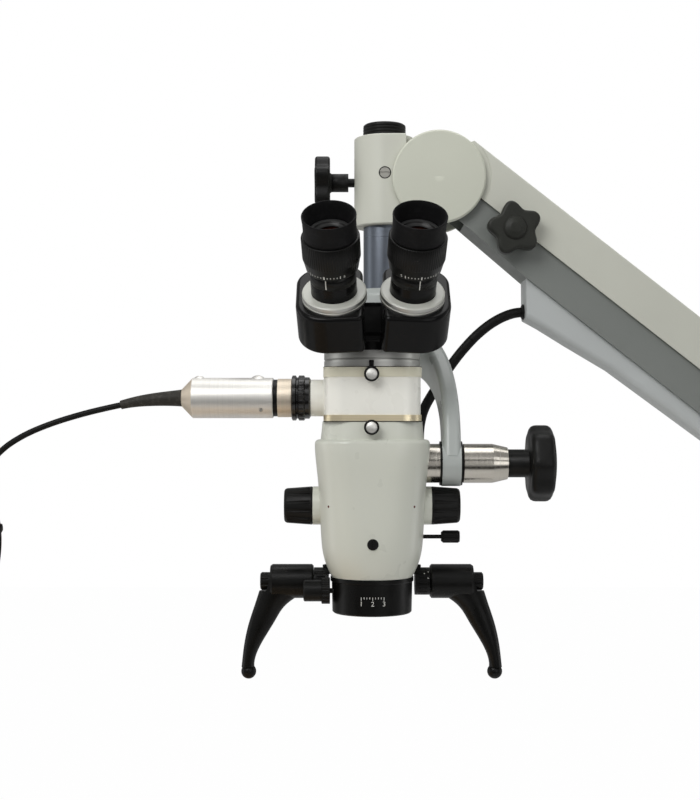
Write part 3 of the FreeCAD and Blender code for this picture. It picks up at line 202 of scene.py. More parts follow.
def moulded(name, color, roughness=0.45, grain=1800.0, depth=0.00008):
    """Moulded plastic with a spark-eroded grain and rubbed patches."""
    finish = Finish(name, color, roughness)
    finish.vary_color(finish.noise(45.0, 4.0), shade(color, 1.5), 0.45, 0.8)
    finish.vary_roughness(finish.noise(70.0, 4.0), roughness - 0.1, roughness + 0.08)
    finish.relief(finish.noise(grain, 3.0), depth, 0.5)
    finish.shader.inputs["Specular IOR Level"].default_value = 0.2
    return finish.material


def rubber(name, color, roughness=0.62):
    """Matt rubber with fine dust in its grain."""
    finish = Finish(name, color, roughness)
    finish.vary_color(finish.noise(260.0, 5.0), shade(color, 2.2), 0.5, 0.8)
    finish.vary_roughness(finish.noise(60.0, 3.0), roughness - 0.08, roughness + 0.1)
    finish.relief(finish.noise(2600.0, 2.0), 0.00007, 0.5)
    finish.shader.inputs["Sheen Weight"].default_value = 0.03
    finish.shader.inputs["Specular IOR Level"].default_value = 0.15
    return finish.material


def coated_glass(name, tint, glint, roughness=0.03):
    """Dark optical glass with a coloured anti-reflection coating."""
    finish = Finish(name, tint, roughness)
    finish.vary_color(finish.noise(30.0, 2.0), shade(tint, 0.6))
    finish.vary_roughness(finish.noise(40.0, 2.0), 0.02, 0.06)
    finish.shader.inputs["Specular IOR Level"].default_value = 0.8
    finish.shader.inputs["Specular Tint"].default_value = glint
    return finish.material


def dress(material, *names):
    """Give CAD nodes a material."""
    for name in names:
        node = nodes[name]
        node.data.materials.clear()
        node.data.materials.append(material)


# Camera and light

camera_place = head(-16.5, -1000.0, 25.0)
camera_rise = 0.0375
camera_lens = 60.0
floor_drop = 800.0
floor_glow = 0.988


def make_camera():
    data = bpy.data.cameras.new("camera")
    data.lens = camera_lens
    data.sensor_width = 36.0
    data.clip_start = 0.01
    data.clip_end = 20.0
    camera = bpy.data.objects.new("camera", data)
    bpy.context.scene.collection.objects.link(camera)
    camera.location = camera_place
    camera.rotation_euler = (math.radians(90.0), 0.0, 0.0)
    data.shift_y = camera_rise
    bpy.context.scene.camera = camera


def area_light(name, place, aim, size, power, tall=None):
    data = bpy.data.lights.new(name, "AREA")
    data.energy = power
    data.size = size
    if tall:
        data.shape = "RECTANGLE"
        data.size_y = tall
    lamp = bpy.data.objects.new(name, data)
    bpy.context.scene.collection.objects.link(lamp)
    lamp.location = place
    lamp.rotation_euler = (Vector(aim) - Vector(place)).to_track_quat("-Z", "Y").to_euler()
    return lamp


def make_lights():
    target = head(0, 0, 40)
    area_light("key_light", head(-650, -1150, 850), target, 0.9, 13.0)
    area_light("fill_light", head(800, -1100, 350), target, 1.1, 5.0)
    area_light("top_light", head(100, 100, 1300), target, 1.0, 6.0)
    area_light("left_strip", head(-1100, 100, 100), target, 0.35, 1.5, 1.2)
    area_light("right_strip", head(1100, 200, 100), target, 0.3, 1.5, 1.2)


def make_card(name, place, aim, wide, tall, color):
    """Studio card that only mirrors and bounced light see; it draws the bands in the steel."""
    mesh = bpy.data.meshes.new(name)
    bm = bmesh.new()
    bmesh.ops.create_grid(bm, x_segments=1, y_segments=1, size=0.5)
    bmesh.ops.scale(bm, vec=(wide, tall, 1.0), verts=bm.verts)
    bm.to_mesh(mesh)
    bm.free()
    card = bpy.data.objects.new(name, mesh)
    bpy.context.scene.collection.objects.link(card)
    card.location = place
    card.rotation_euler = (Vector(aim) - Vector(place)).to_track_quat("-Z", "Y").to_euler()
    card.visible_camera = False
    finish = Finish(name + "_cloth", color, 0.9)
    finish.vary_roughness(finish.noise(20.0), 0.85, 0.95)
    mesh.materials.append(finish.material)


def make_cards():
    target = head(60, 0, 0)
    black = linear(40, 40, 40)
    make_card("low_card", head(60, -900, -420), target, 2.2, 0.34, black)
    make_card("high_card", head(60, -900, 330), target, 2.2, 0.16, black)
    make_card("side_card", head(900, -650, 120), target, 0.3, 1.2, black)
    make_card("warm_card", head(-150, -60, -260), head(-110, 0, 49), 0.26, 0.3, linear(226, 200, 168))


def make_world():
    world = bpy.data.worlds.new("studio")
    bpy.context.scene.world = world
    world.use_nodes = True
    tree = world.node_tree
    sky = tree.nodes["Background"]
    sky.inputs["Color"].default_value = (1.0, 1.0, 1.0, 1.0)
    sky.inputs["Strength"].default_value = 0.34
    out = tree.nodes["World Output"]
    path = tree.nodes.new("ShaderNodeLightPath")
    seen = tree.nodes.new("ShaderNodeBackground")
    seen.inputs["Color"].default_value = (1.0, 1.0, 1.0, 1.0)
    mix = tree.nodes.new("ShaderNodeMixShader")
    tree.links.new(path.outputs["Is Camera Ray"], mix.inputs["Fac"])
    tree.links.new(sky.outputs[0], mix.inputs[1])
    tree.links.new(seen.outputs[0], mix.inputs[2])
    tree.links.new(mix.outputs[0], out.inputs["Surface"])


def make_floor():
    """Pale floor well below the hanging head; it keeps the object's soft shadow."""
    size = 6.0
    mesh = bpy.data.meshes.new("floor")
    bm = bmesh.new()
    bmesh.ops.create_grid(bm, x_segments=2, y_segments=2, size=size)
    bm.to_mesh(mesh)
    bm.free()
    floor = bpy.data.objects.new("floor", mesh)
    floor.location = head(0, 0, -floor_drop)
    bpy.context.scene.collection.objects.link(floor)
    finish = Finish("floor_white", linear(250, 250, 250), 0.8)
    finish.vary_roughness(finish.noise(3.0), 0.75, 0.85)
    path = finish.node("ShaderNodeLightPath")
    glow = finish.node("ShaderNodeEmission")
    glow.inputs["Strength"].default_value = 1.0
    share = finish.node("ShaderNodeMath", operation="MULTIPLY")
    share.inputs[1].default_value = floor_glow
    finish.link(path.outputs["Is Camera Ray"], share.inputs[0])
    mix = finish.node("ShaderNodeMixShader")
    finish.link(share.outputs[0], mix.inputs["Fac"])
    finish.link(finish.shader.outputs[0], mix.inputs[1])
    finish.link(glow.outputs[0], mix.inputs[2])
    finish.link(mix.outputs[0], finish.tree.nodes["Material Output"].inputs["Surface"])
    mesh.materials.append(finish.material)


bpy.context.scene.view_settings.view_transform = "Standard"
make_camera()
make_world()
make_lights()
make_cards()
make_floor()


# Materials of the carried-over nodes

arm_cream = powder("arm_cream", linear(205, 206, 194), 0.48)
disc_cream = powder("disc_cream", linear(206, 208, 193), 0.5)
link_grey = powder("link_grey", linear(126, 130, 126), 0.45)
duct_grey = powder("duct_grey", linear(196, 200, 199), 0.45)
yoke_grey = enamel("yoke_grey", linear(182, 187, 184), 0.3)
shaft_blue = turned_metal("shaft_blue", linear(112, 118, 127), 2, 0.32)
steel_x = turned_metal("steel_x", linear(205, 200, 190), 0, 0.22)
steel_y = turned_metal("steel_y", linear(190, 188, 180), 1, 0.28)
ring_silver = turned_metal("ring_silver", linear(186, 186, 182), 2, 0.38)
body_enamel = enamel("body_enamel", linear(222, 224, 212), 0.3)
# The splitter's enamel is whiter than the body's cream: its white paint plus painted glow.
splitter_enamel_and_painted_glow = enamel("splitter_enamel_and_painted_glow", linear(255, 254, 245), 0.28)
collar_satin = enamel("collar_satin", linear(196, 197, 188), 0.35)
camera_silver = turned_metal("camera_silver", linear(240, 238, 233), 0, 0.5)
black_enamel = enamel("black_enamel", linear(12, 12, 12), 0.24, 0.04, 900.0, 0.14)
lock_gloss = enamel("lock_gloss", linear(15, 14, 13), 0.2, 0.3, 900.0, 0.5)
black_satin = moulded("black_satin", linear(12, 12, 11), 0.34)
screw_bright = turned_metal("screw_bright", linear(236, 235, 230), 1, 0.5)
knob_black = moulded("knob_black", linear(18, 18, 17), 0.4)
knob_grey = moulded("knob_grey", linear(42, 43, 39), 0.42)
rubber_black = rubber("rubber_black", linear(12, 12, 13))
# Black of the light seal; the splitter's seam bands use it too, where it is painted shade.
seal_black_and_seam_shade = rubber("seal_black_and_seam_shade", linear(7, 7, 7), 0.9)
retainer_grey = moulded("retainer_grey", linear(46, 46, 46), 0.36)
cable_black = rubber("cable_black", linear(17, 17, 16), 0.5)
relief_grey = rubber("relief_grey", linear(52, 50, 46), 0.5)
eye_glass = coated_glass("eye_glass", linear(38, 14, 8), (1.0, 0.42, 0.2, 1.0))
objective_glass = coated_glass("objective_glass", linear(28, 36, 52), (0.55, 0.7, 1.0, 1.0))
prism_glass = coated_glass("prism_glass", linear(120, 130, 140), (1.0, 1.0, 1.0, 1.0))
brass = turned_metal("brass", linear(190, 160, 90), 2, 0.35)
rim_khaki = enamel("rim_khaki", linear(242, 238, 214), 0.4)
rim_gold = turned_metal("rim_gold", linear(246, 232, 198), 2, 0.34)
camera_tan = turned_metal("camera_tan", linear(228, 216, 198), 0, 0.5)

dress(arm_cream, "arm_top_cover", "front_hub", "rear_knuckle")
dress(disc_cream, "front_disc_covers", "rear_disc_covers")
dress(link_grey, "lower_link_channel")
dress(duct_grey, "cable_duct")
dress(yoke_grey, "yoke_arm")
dress(shaft_blue, "swivel_shaft", "stand_spindle")
dress(steel_x, "tilt_drum", "tilt_lock_sleeve")
dress(steel_y, "upper_link_bar", "front_pivot_pins", "rear_pivot_pins", "hub_screw", "balance_spring",
      "upper_thumbscrew", "lower_thumbscrew")
dress(ring_silver, "mount_ring")
dress(body_enamel, "body_shell", "light_port")
dress(splitter_enamel_and_painted_glow, "splitter_housing")
dress(collar_satin, "left_tube_collar", "right_tube_collar")
dress(camera_silver, "camera_body")
dress(black_enamel, "binocular_base", "left_prism_housing", "right_prism_housing")
dress(black_satin, "objective_housing", "objective_cell", "left_diopter_ring", "right_diopter_ring",
      "handle_bar", "filter_slide", "drum_turret", "left_grip", "right_grip", "yoke_washers")
dress(lock_gloss, "camera_lock_ring")
dress(knob_black, "swivel_lock_knob", "shaft_cap", "tilt_lock_knob", "magnification_knobs", "focus_knob",
      "front_plug", "light_guide_gland")
dress(knob_grey, "arm_lock_knob")
dress(rubber_black, "left_eyecup", "right_eyecup")
dress(cable_black, "light_guide", "camera_cable", "camera_cable_coil")
dress(relief_grey, "camera_strain_relief")
dress(steel_y, "camera_plug")
dress(eye_glass, "left_eye_lens", "right_eye_lens")
dress(objective_glass, "objective_lens")
dress(prism_glass, "splitter_prisms")
dress(brass, "swivel_bushes")


def zone(name, material, belongs):
    """Give the faces of a CAD node for which the test holds a second material."""
    mesh = nodes[name].data
    mesh.materials.append(material)
    index = len(mesh.materials) - 1
    for polygon in mesh.polygons:
        if belongs((polygon.center - head_origin) / mm, polygon.normal):
            polygon.material_index = index


splitter_low = 31.4
splitter_high = 70.75
zone("splitter_housing", rim_gold, lambda at, normal: at.x > -37.5 and at.z < splitter_low + 4.7)
zone("splitter_housing", rim_khaki, lambda at, normal: at.x > -37.5 and at.z > splitter_high - 7.2)
zone("camera_body", black_satin, lambda at, normal: -73.95 < at.x < -70.5 and abs(normal.x) < 0.7)
zone("camera_body", camera_tan, lambda at, normal: at.x > -70.45 or at.x < -134.5)
for side_name, side_sign in sides:
    tube_axis = eyepiece_place(side_sign).to_3x3() @ Vector((0, 0, 1))
    zone(side_name + "_tube_collar", ring_silver,
         lambda at, normal, along=tube_axis: abs(normal.dot(along)) < 0.5)


# Camera cable: free run, coil of turns and its tail, on one smooth curve

cable_diameter = 4.5
coil_centre = (-301.0, 25.0, -62.0)
coil_radius = 25.0
coil_points = 14


def nurbs(name, points, diameter, material):
    """Round cord on a smooth curve through control points given in metres."""
    curve = bpy.data.curves.new(name, "CURVE")
    curve.dimensions = "3D"
    curve.resolution_u = 10
    curve.bevel_depth = diameter / 2
    curve.bevel_resolution = 5
    curve.use_fill_caps = True
    spline = curve.splines.new("NURBS")
    spline.points.add(len(points) - 1)
    for slot, point in zip(spline.points, points):
        slot.co = (point[0], point[1], point[2], 1.0)
    spline.order_u = 3
    spline.use_endpoint_u = True
    curve.materials.append(material)
    piece = bpy.data.objects.new(name, curve)
    bpy.context.scene.collection.objects.link(piece)
    return piece


def coil_places():
    """Radial and sideways offsets of the coil's turns, in rows that lie on each other."""
    pitch = cable_diameter + 0.15
    rows = ((-1, (1.5, 0.5, -0.5, -1.5)), (0, (-1.0, 0.0, 1.0)), (1, (1.5, 0.5, -0.5, -1.5)))
    places = []
    for level, sideways in rows:
        for step in sideways:
            places.append((level * pitch * 0.88, step * pitch))
    return places


def make_camera_cable():
    route = [(-188.0, 0, 43.8), (-203, 0, 40.6), (-221, 0, 36.0), (-241, 0, 29.8), (-261, 0, 21.5),
             (-278, 0, 10.5), (-290, 0, -4.5), (-297.5, 0, -22), (-301, 0, -38)]
    points = [head(*point) for point in route]
    places = coil_places()
    turns = len(places)
    for turn in range(turns):
        radial, sideways = places[turn]
        after = places[min(turn + 1, turns - 1)]
        for step in range(coil_points):
            share = step / coil_points
            blend = max(0.0, (share - 0.6) / 0.4)
            radius = coil_radius + radial + (after[0] - radial) * blend
            offset = sideways + (after[1] - sideways) * blend
            angle = math.pi + 2 * math.pi * share
            y = coil_centre[1] + radius * math.cos(angle)
            z = coil_centre[2] + radius * math.sin(angle)
            points.append(head(coil_centre[0] + offset, y, z))
    for drop in (0.0, 7.0, 14.0, 21.0, 28.5):
        points.append(head(coil_centre[0], coil_centre[1] - coil_radius, coil_centre[2] - drop))
    return nurbs("camera_lead", points, cable_diameter * mm, cable_black)


lead = make_camera_cable()
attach(lead, "microscope_body")
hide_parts("camera_cable", "camera_cable_coil")


# Small helpers for modelled pieces

def mesh_piece(name, bm, material, body, smooth=True, replaced=()):
    """Turn a bmesh in metres into a piece that rides on a body."""
    mesh = bpy.data.meshes.new(name)
    bmesh.ops.remove_doubles(bm, verts=bm.verts, dist=1e-7)
    bmesh.ops.recalc_face_normals(bm, faces=bm.faces)
    bm.to_mesh(mesh)
    bm.free()
    for polygon in mesh.polygons:
        polygon.use_smooth = smooth
    mesh.materials.append(material)
    piece = bpy.data.objects.new(name, mesh)
    bpy.context.scene.collection.objects.link(piece)
    if body:
        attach(piece, body)
    if replaced:
        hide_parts(*replaced)
    return piece


def axis_frame(start, axis):
    """Matrix in metres whose local Z runs along an axis from a start point."""
    turn = Vector(axis).normalized().to_track_quat("Z", "Y").to_matrix().to_4x4()
    return Matrix.Translation(Vector(start)) @ turn


def lathe(bm, profile, place, segments=96, closed=False, ribs=0, rib_depth=0.3, ribbed=(0.0, 0.0),
          rib_from=18.0):
    """Surface of revolution of (radius, height) points in millimetres, set at a matrix.

    Ribs run along the axis where the profile lies outside rib_from and between the two ribbed heights.
    """
    rings = []
    for radius, height in profile:
        if radius < 1e-6:
            rings.append([bm.verts.new(place @ Vector((0, 0, height * mm)))])
            continue
        ring = []
        cut = rib_depth if ribs and radius > rib_from and ribbed[0] <= height <= ribbed[1] else 0.0
        for step in range(segments):
            angle = 2 * math.pi * step / segments
            out = radius - cut * (1.0 - math.cos(ribs * angle)) / 2
            local = Vector((out * math.cos(angle), out * math.sin(angle), height)) * mm
            ring.append(bm.verts.new(place @ local))
        rings.append(ring)
    pairs = list(zip(rings, rings[1:]))
    if closed:
        pairs.append((rings[-1], rings[0]))
    for low, high in pairs:
        for step in range(segments):
            following = (step + 1) % segments
            if len(low) == 1 and len(high) == 1:
                continue
            if len(low) == 1:
                bm.faces.new((low[0], high[following], high[step]))
            elif len(high) == 1:
                bm.faces.new((low[step], low[following], high[0]))
            else:
                bm.faces.new((low[step], low[following], high[following], high[step]))


def tube_along(points, radius, sides=20):
    """Mesh tube through points in metres, with its ends closed."""
    bm = bmesh.new()
    rings = []
    for index, point in enumerate(points):
        before = points[max(index - 1, 0)]
        after = points[min(index + 1, len(points) - 1)]
        along = (after - before).normalized()
        side = along.cross(Vector((0, 1, 0.3))).normalized()
        up = side.cross(along).normalized()
        ring = []
        for step in range(sides):
            angle = 2 * math.pi * step / sides
            ring.append(bm.verts.new(point + (side * math.cos(angle) + up * math.sin(angle)) * radius))
        rings.append(ring)
    for low, high in zip(rings, rings[1:]):
        for step in range(sides):
            following = (step + 1) % sides
            bm.faces.new((low[step], low[following], high[following], high[step]))
    bm.faces.new(rings[0][::-1])
    bm.faces.new(rings[-1])
    return bm


def smooth_line(points, steps):
    """Points read from a smooth curve through control points."""
    curve = bpy.data.curves.new("guide_line", "CURVE")
    curve.dimensions = "3D"
    curve.resolution_u = steps
    spline = curve.splines.new("NURBS")
    spline.points.add(len(points) - 1)
    for slot, point in zip(spline.points, points):
        slot.co = (point[0], point[1], point[2], 1.0)
    spline.order_u = 3
    spline.use_endpoint_u = True
    holder = bpy.data.objects.new("guide_line", curve)
    bpy.context.scene.collection.objects.link(holder)
    mesh = bpy.data.meshes.new_from_object(holder)
    line = [vertex.co.copy() for vertex in mesh.vertices]
    bpy.data.objects.remove(holder)
    bpy.data.meshes.remove(mesh)
    return line


# Two straps that hold the coil of the camera cable together

def make_coil_straps():
    bm = bmesh.new()
    corner = 2.7
    half_radial = 6.34
    half_side = 9.23
    loop = []
    for turn_x, turn_y, start in ((1, 1, 0), (-1, 1, 90), (-1, -1, 180), (1, -1, 270)):
        for step in range(7):
            angle = math.radians(start + 15.0 * step)
            outward = Vector((math.cos(angle), math.sin(angle)))
            middle = Vector((turn_x * (half_radial - corner + 0.3), turn_y * (half_side - corner + 0.3)))
            loop.append((middle + outward * corner, outward))
    for turned in (20.0, 155.0):
        angle = math.radians(turned)
        radial = Vector((0, math.cos(angle), math.sin(angle)))
        along = Vector((0, -math.sin(angle), math.cos(angle)))
        centre = Vector(coil_centre) + radial * coil_radius
        rows = []
        for point, outward in loop:
            row = []
            for out, wide in ((0.0, -2.2), (0.9, -2.2), (1.05, 0.0), (0.9, 2.2), (0.0, 2.2)):
                spot = point + outward * out
                place = centre + radial * spot.x + Vector((1, 0, 0)) * spot.y + along * wide
                row.append(bm.verts.new(head(*place)))
            rows.append(row)
        for index, row in enumerate(rows):
            after = rows[(index + 1) % len(rows)]
            for step in range(5):
                other = (step + 1) % 5
                bm.faces.new((row[step], row[other], after[other], after[step]))
    return mesh_piece("coil_straps", bm, cable_black, "microscope_body")


# Light guide in three stretches of tube along one smooth curve

def make_light_guide():
    route = [(132, 80, 120.6), (121, 80, 120.6), (111, 80, 118.3), (99, 80, 112.3), (87, 80, 102.9),
             (77.5, 80, 92.9), (69.7, 80, 83.5), (61.5, 80, 72), (53.6, 80, 59.5), (46.9, 78.5, 49),
             (42.4, 73, 40.5), (39.6, 65.5, 31), (38.2, 57.8, 22), (38, 55, 12.3)]
    line = smooth_line([head(*point) for point in route], 8)
    lengths = [0.0]
    for first, second in zip(line, line[1:]):
        lengths.append(lengths[-1] + (second - first).length)
    cuts = (0.0, 0.34, 0.62, 1.0)
    joined = (("lower_link", "hub"), ("hub", "yoke"), ("yoke", "microscope_body"))
    names = ("light_guide_upper", "light_guide_middle", "light_guide_lower")
    for index, name in enumerate(names):
        low = cuts[index] * lengths[-1]
        high = cuts[index + 1] * lengths[-1]
        stretch = [point for point, at in zip(line, lengths) if low - 1e-4 <= at <= high + 0.004]
        piece = mesh_piece(name, tube_along(stretch, 4.0 * mm), cable_black, None)
        first, second = joined[index]
        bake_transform(piece)
        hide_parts("light_guide")


straps = make_coil_straps()
make_light_guide()


# Printed marks: they lie a hair above the surface that carries them

mark_lift = 0.03


def glowing_print(name, color, roughness=0.5):
    """Pad-printed ink with slightly broken edges of tone."""
    finish = Finish(name, color, roughness)
    finish.vary_color(finish.noise(900.0, 3.0), shade(color, 0.72), 0.45, 0.8)
    finish.vary_roughness(finish.noise(600.0, 2.0), roughness - 0.08, roughness + 0.1)
    finish.relief(finish.noise(3000.0, 2.0), 0.00002, 0.3)
    return finish.material


white_ink = glowing_print("white_ink", linear(224, 224, 218))
red_ink = glowing_print("red_ink", linear(96, 40, 28))


def bent_patch(bm, place, radius, angle, low, high, width, slope=0.0):
    """Thin mark on a turned surface, at an angle in degrees, low to high along the axis."""
    steps = max(1, int(width / 0.6))
    half = width / (2 * radius)
    columns = []
    for step in range(steps + 1):
        turn = math.radians(angle) - half + 2 * half * step / steps
        column = []
        for height in (low, high):
            out = radius + mark_lift + slope * (height - low)
            local = Vector((out * math.cos(turn), out * math.sin(turn), height)) * mm
            column.append(bm.verts.new(place @ local))
        columns.append(column)
    for first, second in zip(columns, columns[1:]):
        bm.faces.new((first[0], second[0], second[1], first[1]))


def bent_text(bm, place, radius, angle, middle, tall, words, slope=0.0):
    """Plain digits wrapped on a turned surface, upright along its axis."""
    curve = bpy.data.curves.new("digits", "FONT")
    curve.body = words
    curve.size = tall * mm * 1.4
    curve.align_x = "CENTER"
    curve.align_y = "CENTER"
    holder = bpy.data.objects.new("digits", curve)
    bpy.context.scene.collection.objects.link(holder)
    mesh = bpy.data.meshes.new_from_object(holder)
    made = []
    for vertex in mesh.vertices:
        turn = math.radians(angle) + vertex.co.x / (radius * mm)
        out = (radius + mark_lift) * mm + slope * vertex.co.y
        local = Vector((out * math.cos(turn), out * math.sin(turn), middle * mm + vertex.co.y))
        made.append(bm.verts.new(place @ local))
    for polygon in mesh.polygons:
        bm.faces.new([made[index] for index in polygon.vertices])
    bpy.data.objects.remove(holder)
    bpy.data.meshes.remove(mesh)


def face_point(node, x, z):
    """Head-frame depth of the first surface of a node that a look along +Y meets, and its normal."""
    tree = BVHTree.FromPolygons([vertex.co for vertex in nodes[node].data.vertices],
                                [tuple(face.vertices) for face in nodes[node].data.polygons])
    hit, normal, _, _ = tree.ray_cast(head(x, -300.0, z), Vector((0.0, 1.0, 0.0)))
    return hit, normal


def disc_mark(name, node, x, z, radius, material, body):
    """Small round mark on the front of a node."""
    hit, normal = face_point(node, x, z)
    place = axis_frame(hit - normal * 0.2 * mm, normal)
    bm = bmesh.new()
    lathe(bm, [(0, 0.26), (radius * 0.8, 0.26), (radius, 0.2), (radius, 0.0)], place, 24)
    return mesh_piece(name, bm, material, body)


objective_ring_z = -111.3
barrel_radius = 16.2
band_radius = 18.3
band_low = 26.6
band_slope = 0.19
scale_rise = 2.2
scale_step = 7.0
knurl_low = 35.0
knurl_high = 51.5


def make_eyepieces():
    """Barrel sleeve, diopter ring with fine ribs, and the eyecup, whose skirt slides on the ring's sleeve."""
    sleeve_profile = [(15.05, 16.55), (barrel_radius, 16.55), (barrel_radius, 26.0), (15.05, 26.0)]
    ring_profile = [(12.0, 26.1), (12.0, 54.6), (15.0, 54.6), (15.0, 46.2), (16.7, 46.2),
                    (16.7, knurl_high), (19.7, knurl_high), (20.25, knurl_high - 0.5),
                    (20.25, knurl_low + 0.3), (20.0, knurl_low), (19.85, knurl_low - 0.3),
                    (band_radius, band_low), (band_radius - 0.4, 26.1)]
    cup_profile = [(15.05, 46.5), (16.4, 46.5), (16.4, knurl_high + 0.4), (18.5, knurl_high + 0.4),
                   (18.8, knurl_high + 0.8), (18.5, 54.5), (18.3, 58.0), (18.4, 63.0), (18.8, 66.8),
                   (18.8, 67.5), (18.55, 68.0), (18.1, 68.0), (17.8, 67.5), (17.2, 64.0), (16.0, 58.0),
                   (15.05, 55.0)]
    for name, side in sides:
        place = eyepiece_place(side)
        sleeve = bmesh.new()
        lathe(sleeve, sleeve_profile, place, 128, True)
        mesh_piece(name + "_barrel_sleeve", sleeve, black_satin, name + "_ocular")
        ring = bmesh.new()
        lathe(ring, ring_profile, place, 432, True, 72, 0.25, (knurl_low + 0.2, knurl_high - 0.4))
        mesh_piece(name + "_diopter_shape", ring, black_satin, name + "_diopter",
                   replaced=[name + "_diopter_ring"])
        cup = bmesh.new()
        lathe(cup, cup_profile, place, 128, True)
        mesh_piece(name + "_cup_shape", cup, rubber_black, name + "_cup",
                   replaced=[name + "_eyecup"])


def make_marks():
    for name, side in sides:
        x = side * 31.3 - 0.9
        disc_mark(name + "_index_mark", "body_shell", x, -30.9, 0.95, red_ink, "microscope_body")
        place = eyepiece_place(side)
        scale = bmesh.new()
        zero = -93.0 + side * 14.0
        for step in range(-5, 6):
            tall, wide = (2.6, 1.0) if step == 0 else (2.4, 0.6) if step % 5 == 0 else (1.1, 0.6)
            low = band_low + scale_rise - tall / 2
            radius = band_radius + (low - band_low) * band_slope
            bent_patch(scale, place, radius, zero + step * scale_step, low, low + tall, wide, band_slope)
        for step, words in ((-6.3, "5"), (6.3, "5")):
            radius = band_radius + scale_rise * band_slope
            bent_text(scale, place, radius, zero + step * scale_step, band_low + scale_rise, 2.2, words,
                      band_slope)
        mesh_piece(name + "_diopter_scale", scale, white_ink, name + "_diopter", smooth=False)
        ring = bmesh.new()
        lathe(ring, [(10.4, 52.4), (10.9, 53.2), (14.0, 55.3), (14.7, 55.3), (14.7, 54.3)], place, 64)
        mesh_piece(name + "_lens_ring", ring, retainer_grey, name + "_diopter")
        index = bmesh.new()
        bent_patch(index, place, barrel_radius, zero, 17.6, 25.2, 0.7)
        mesh_piece(name + "_diopter_index", index, white_ink, name + "_ocular", smooth=False)
    for count, (x, z) in enumerate(((42.6, -82.2), (42.4, -86.6), (39.6, -83.2))):
        disc_mark("handle_dot_" + str(count), "handle_bar", x, z, 0.5, white_ink, "microscope_body")
    ring_place = Matrix.Translation(head(0, 0, objective_ring_z))
    marks = bmesh.new()
    for step in range(-4, 5):
        tall = 2.4 if step % 4 == 0 else 1.4
        bent_patch(marks, ring_place, 30.15, -90 + step * 4.0, 14.4 - tall, 14.4, 0.45)
    for step, words in ((-4, "1"), (0, "2"), (4, "3")):
        bent_text(marks, ring_place, 30.1, -90 + step * 4.0, 9.4, 3.6, words)
    mesh_piece("focus_scale", marks, white_ink, "microscope_body", smooth=False)


make_eyepieces()
make_marks()


# Small pieces that the carried-over model lacks

def make_block(name, low, high, material, body, bevel=0.8, place=None):
    """Bevelled block between two corners in millimetres, of the head's frame or of a given one."""
    bm = bmesh.new()
    bmesh.ops.create_cube(bm, size=1.0)
    frame_place = place or Matrix.Translation(head_origin)
    for vertex in bm.verts:
        spot = []
        for axis in range(3):
            spot.append(low[axis] + (vertex.co[axis] + 0.5) * (high[axis] - low[axis]))
        vertex.co = frame_place @ (Vector(spot) * mm)
    bmesh.ops.bevel(bm, geom=list(bm.edges), offset=bevel * mm, segments=3, affect="EDGES", profile=0.5)
    return mesh_piece(name, bm, material, body)


def make_collar_ring(name, centre, inner, outer, depth, material, body):
    """Dark ring round a screw's head; its axis runs along Y from its front centre."""
    place = axis_frame(head(*centre), (0, 1, 0))
    bm = bmesh.new()
    profile = [(inner, 0.0), (outer - 0.3, 0.0), (outer, 0.3), (outer, depth - 0.3), (outer - 0.3, depth),
               (inner, depth)]
    lathe(bm, profile, place, 48, closed=True)
    return mesh_piece(name, bm, material, body)


def make_seam_shade(name, half_x, half_y, corner, low, high):
    """Black band laid round the splitter's rim at a joint: painted shade of the joint's gap."""
    bm = bmesh.new()
    rims = []
    for z in (low, high):
        rim = []
        for turn_x, turn_y, start in ((1, 1, 0), (-1, 1, 90), (-1, -1, 180), (1, -1, 270)):
            for step in range(13):
                angle = math.radians(start + 7.5 * step)
                x = turn_x * (half_x - corner) + corner * math.cos(angle)
                y = turn_y * (half_y - corner) + corner * math.sin(angle)
                rim.append(bm.verts.new(head(x, y, z)))
        rims.append(rim)
    for index, corner_vertex in enumerate(rims[0]):
        after = (index + 1) % len(rims[0])
        bm.faces.new((corner_vertex, rims[0][after], rims[1][after], rims[1][index]))
    bm.faces.new(rims[0][::-1])
    bm.faces.new(rims[1])
    return mesh_piece(name, bm, seal_black_and_seam_shade, "microscope_body", smooth=False)


def lobed(bm, profile, start, lobes, swing, wavy_from):
    """Turned surface along +X whose outer radii rise and fall in lobes."""
    segments = 192
    rings = []
    for radius, at in profile:
        if radius < 1e-6:
            rings.append([bm.verts.new(head(start + at, 0, 0))])
            continue
        share = min(1.0, max(0.0, (radius - wavy_from) / 8.0))
        ring = []
        for step in range(segments):
            angle = 2 * math.pi * step / segments
            out = radius - swing * share * (1.0 - math.cos(lobes * angle)) / 2
            ring.append(bm.verts.new(head(start + at, -out * math.cos(angle), out * math.sin(angle))))
        rings.append(ring)
    for low, high in zip(rings, rings[1:]):
        for step in range(segments):
            following = (step + 1) % segments
            if len(high) == 1:
                bm.faces.new((low[step], low[following], high[0]))
            else:
                bm.faces.new((low[step], low[following], high[following], high[step]))


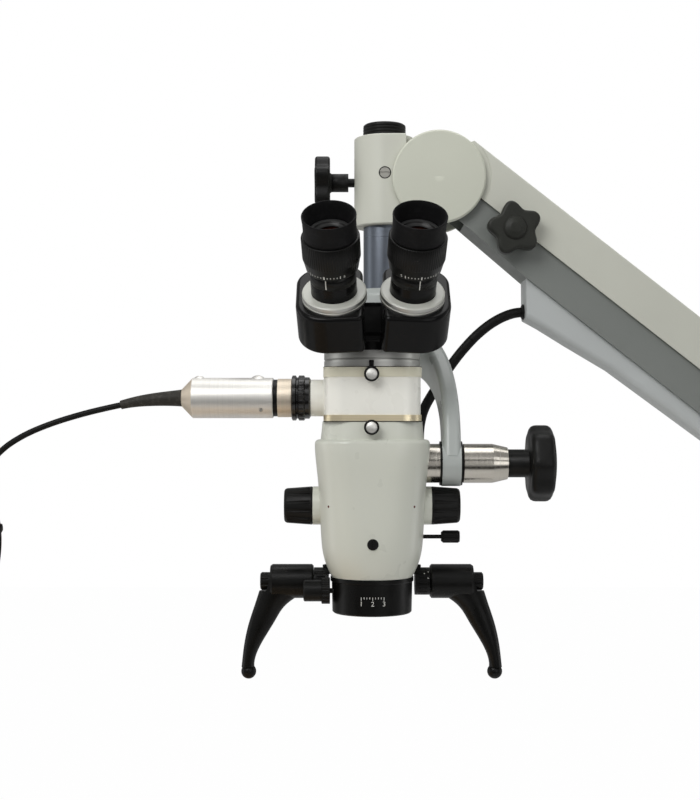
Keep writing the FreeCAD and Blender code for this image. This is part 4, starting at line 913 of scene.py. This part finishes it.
def make_small_pieces():
    make_block("binocular_bridge", (-6.7, -13.0, 101.0), (6.7, 9.0, 119.5), black_enamel, "microscope_body")
    slant = Matrix.Translation(head(0, eye_front, eye_height)) @ Matrix.Rotation(eye_lean, 4, "X")
    make_block("light_seal", (-6.7, 2.0, -35.6), (6.7, 38.0, -32.2), seal_black_and_seam_shade, "microscope_body",
               0.5, slant)
    make_block("mount_notch", (-2.7, -38.9, 70.9), (0.7, -34.0, 75.6), black_satin, "microscope_body",
               0.4)
    for name, y, z in (("upper", -45.9, 65.3), ("lower", -46.2, 26.9)):
        make_collar_ring(name + "_screw_ring", (-1, y - 0.1, z), 4.1, 5.5, 1.8, knob_black, name + "_screw")
        face = bmesh.new()
        profile = [(0.0, -0.1), (3.2, -0.1), (3.5, 0.15), (3.8, 0.15), (4.15, 0.5), (4.15, 0.9),
                   (0.0, 0.9)]
        lathe(face, profile, axis_frame(head(-1, y, z), (0, 1, 0)), 48)
        mesh_piece(name + "_screw_face", face, screw_bright, name + "_screw")
    # Thin black bands at the splitter's two joints: painted shade in the gaps of real joints.
    make_seam_shade("splitter_low_seam_shade", 36.05, 38.45, 14.2, 31.0, 31.5)
    make_seam_shade("splitter_high_seam_shade", 36.05, 38.45, 14.2, 70.6, 71.1)
    make_collar_ring("hub_screw_ring", (11.2, 55.25, 229.0), 4.2, 4.9, 1.2, knob_black, "hub")
    boss = bmesh.new()
    lathe(boss, [(3.2, 0.0), (7.0, 0.0), (7.3, 0.3), (7.3, 13.7), (7.0, 14.0), (3.2, 14.0)],
          axis_frame(head(-33.4, 80.0, 225.0), (1, 0, 0)), 48, closed=True)
    mesh_piece("swivel_lock_boss", boss, knob_black, "swivel_lock")
    cap = bmesh.new()
    profile = [(0.0, 11.35), (15.9, 11.35), (17.0, 10.5), (17.2, 9.2)]
    for groove in (8.4, 5.9, 3.4):
        profile += [(17.2, groove + 0.5), (16.4, groove + 0.2), (16.4, groove - 0.4),
                    (17.2, groove - 0.7)]
    profile += [(17.2, 0.4), (16.9, 0.2), (0.0, 0.2)]
    lathe(cap, profile[::-1], Matrix.Translation(head(11.4, 80.0, 260.2)), 96)
    mesh_piece("shaft_cap_shape", cap, knob_black, "yoke", replaced=["shaft_cap"])
    knob = bmesh.new()
    profile = [(6.2, 0.15), (10.2, 0.15), (10.5, 0.45), (10.5, 15.2), (11.2, 15.9), (22.5, 15.9),
               (25.6, 16.3), (27.4, 17.6), (28.3, 19.4), (28.6, 21.4), (28.6, 28.6), (28.2, 30.4),
               (27.0, 32.2), (25.0, 33.4), (18.0, 34.7), (9.0, 35.5), (0.0, 35.7)]
    lobed(knob, profile, 101.3, 8, 1.7, 19.0)
    mesh_piece("tilt_lock_knob_shape", knob, knob_black, "tilt_lock",
               replaced=["tilt_lock_knob"])


make_small_pieces()
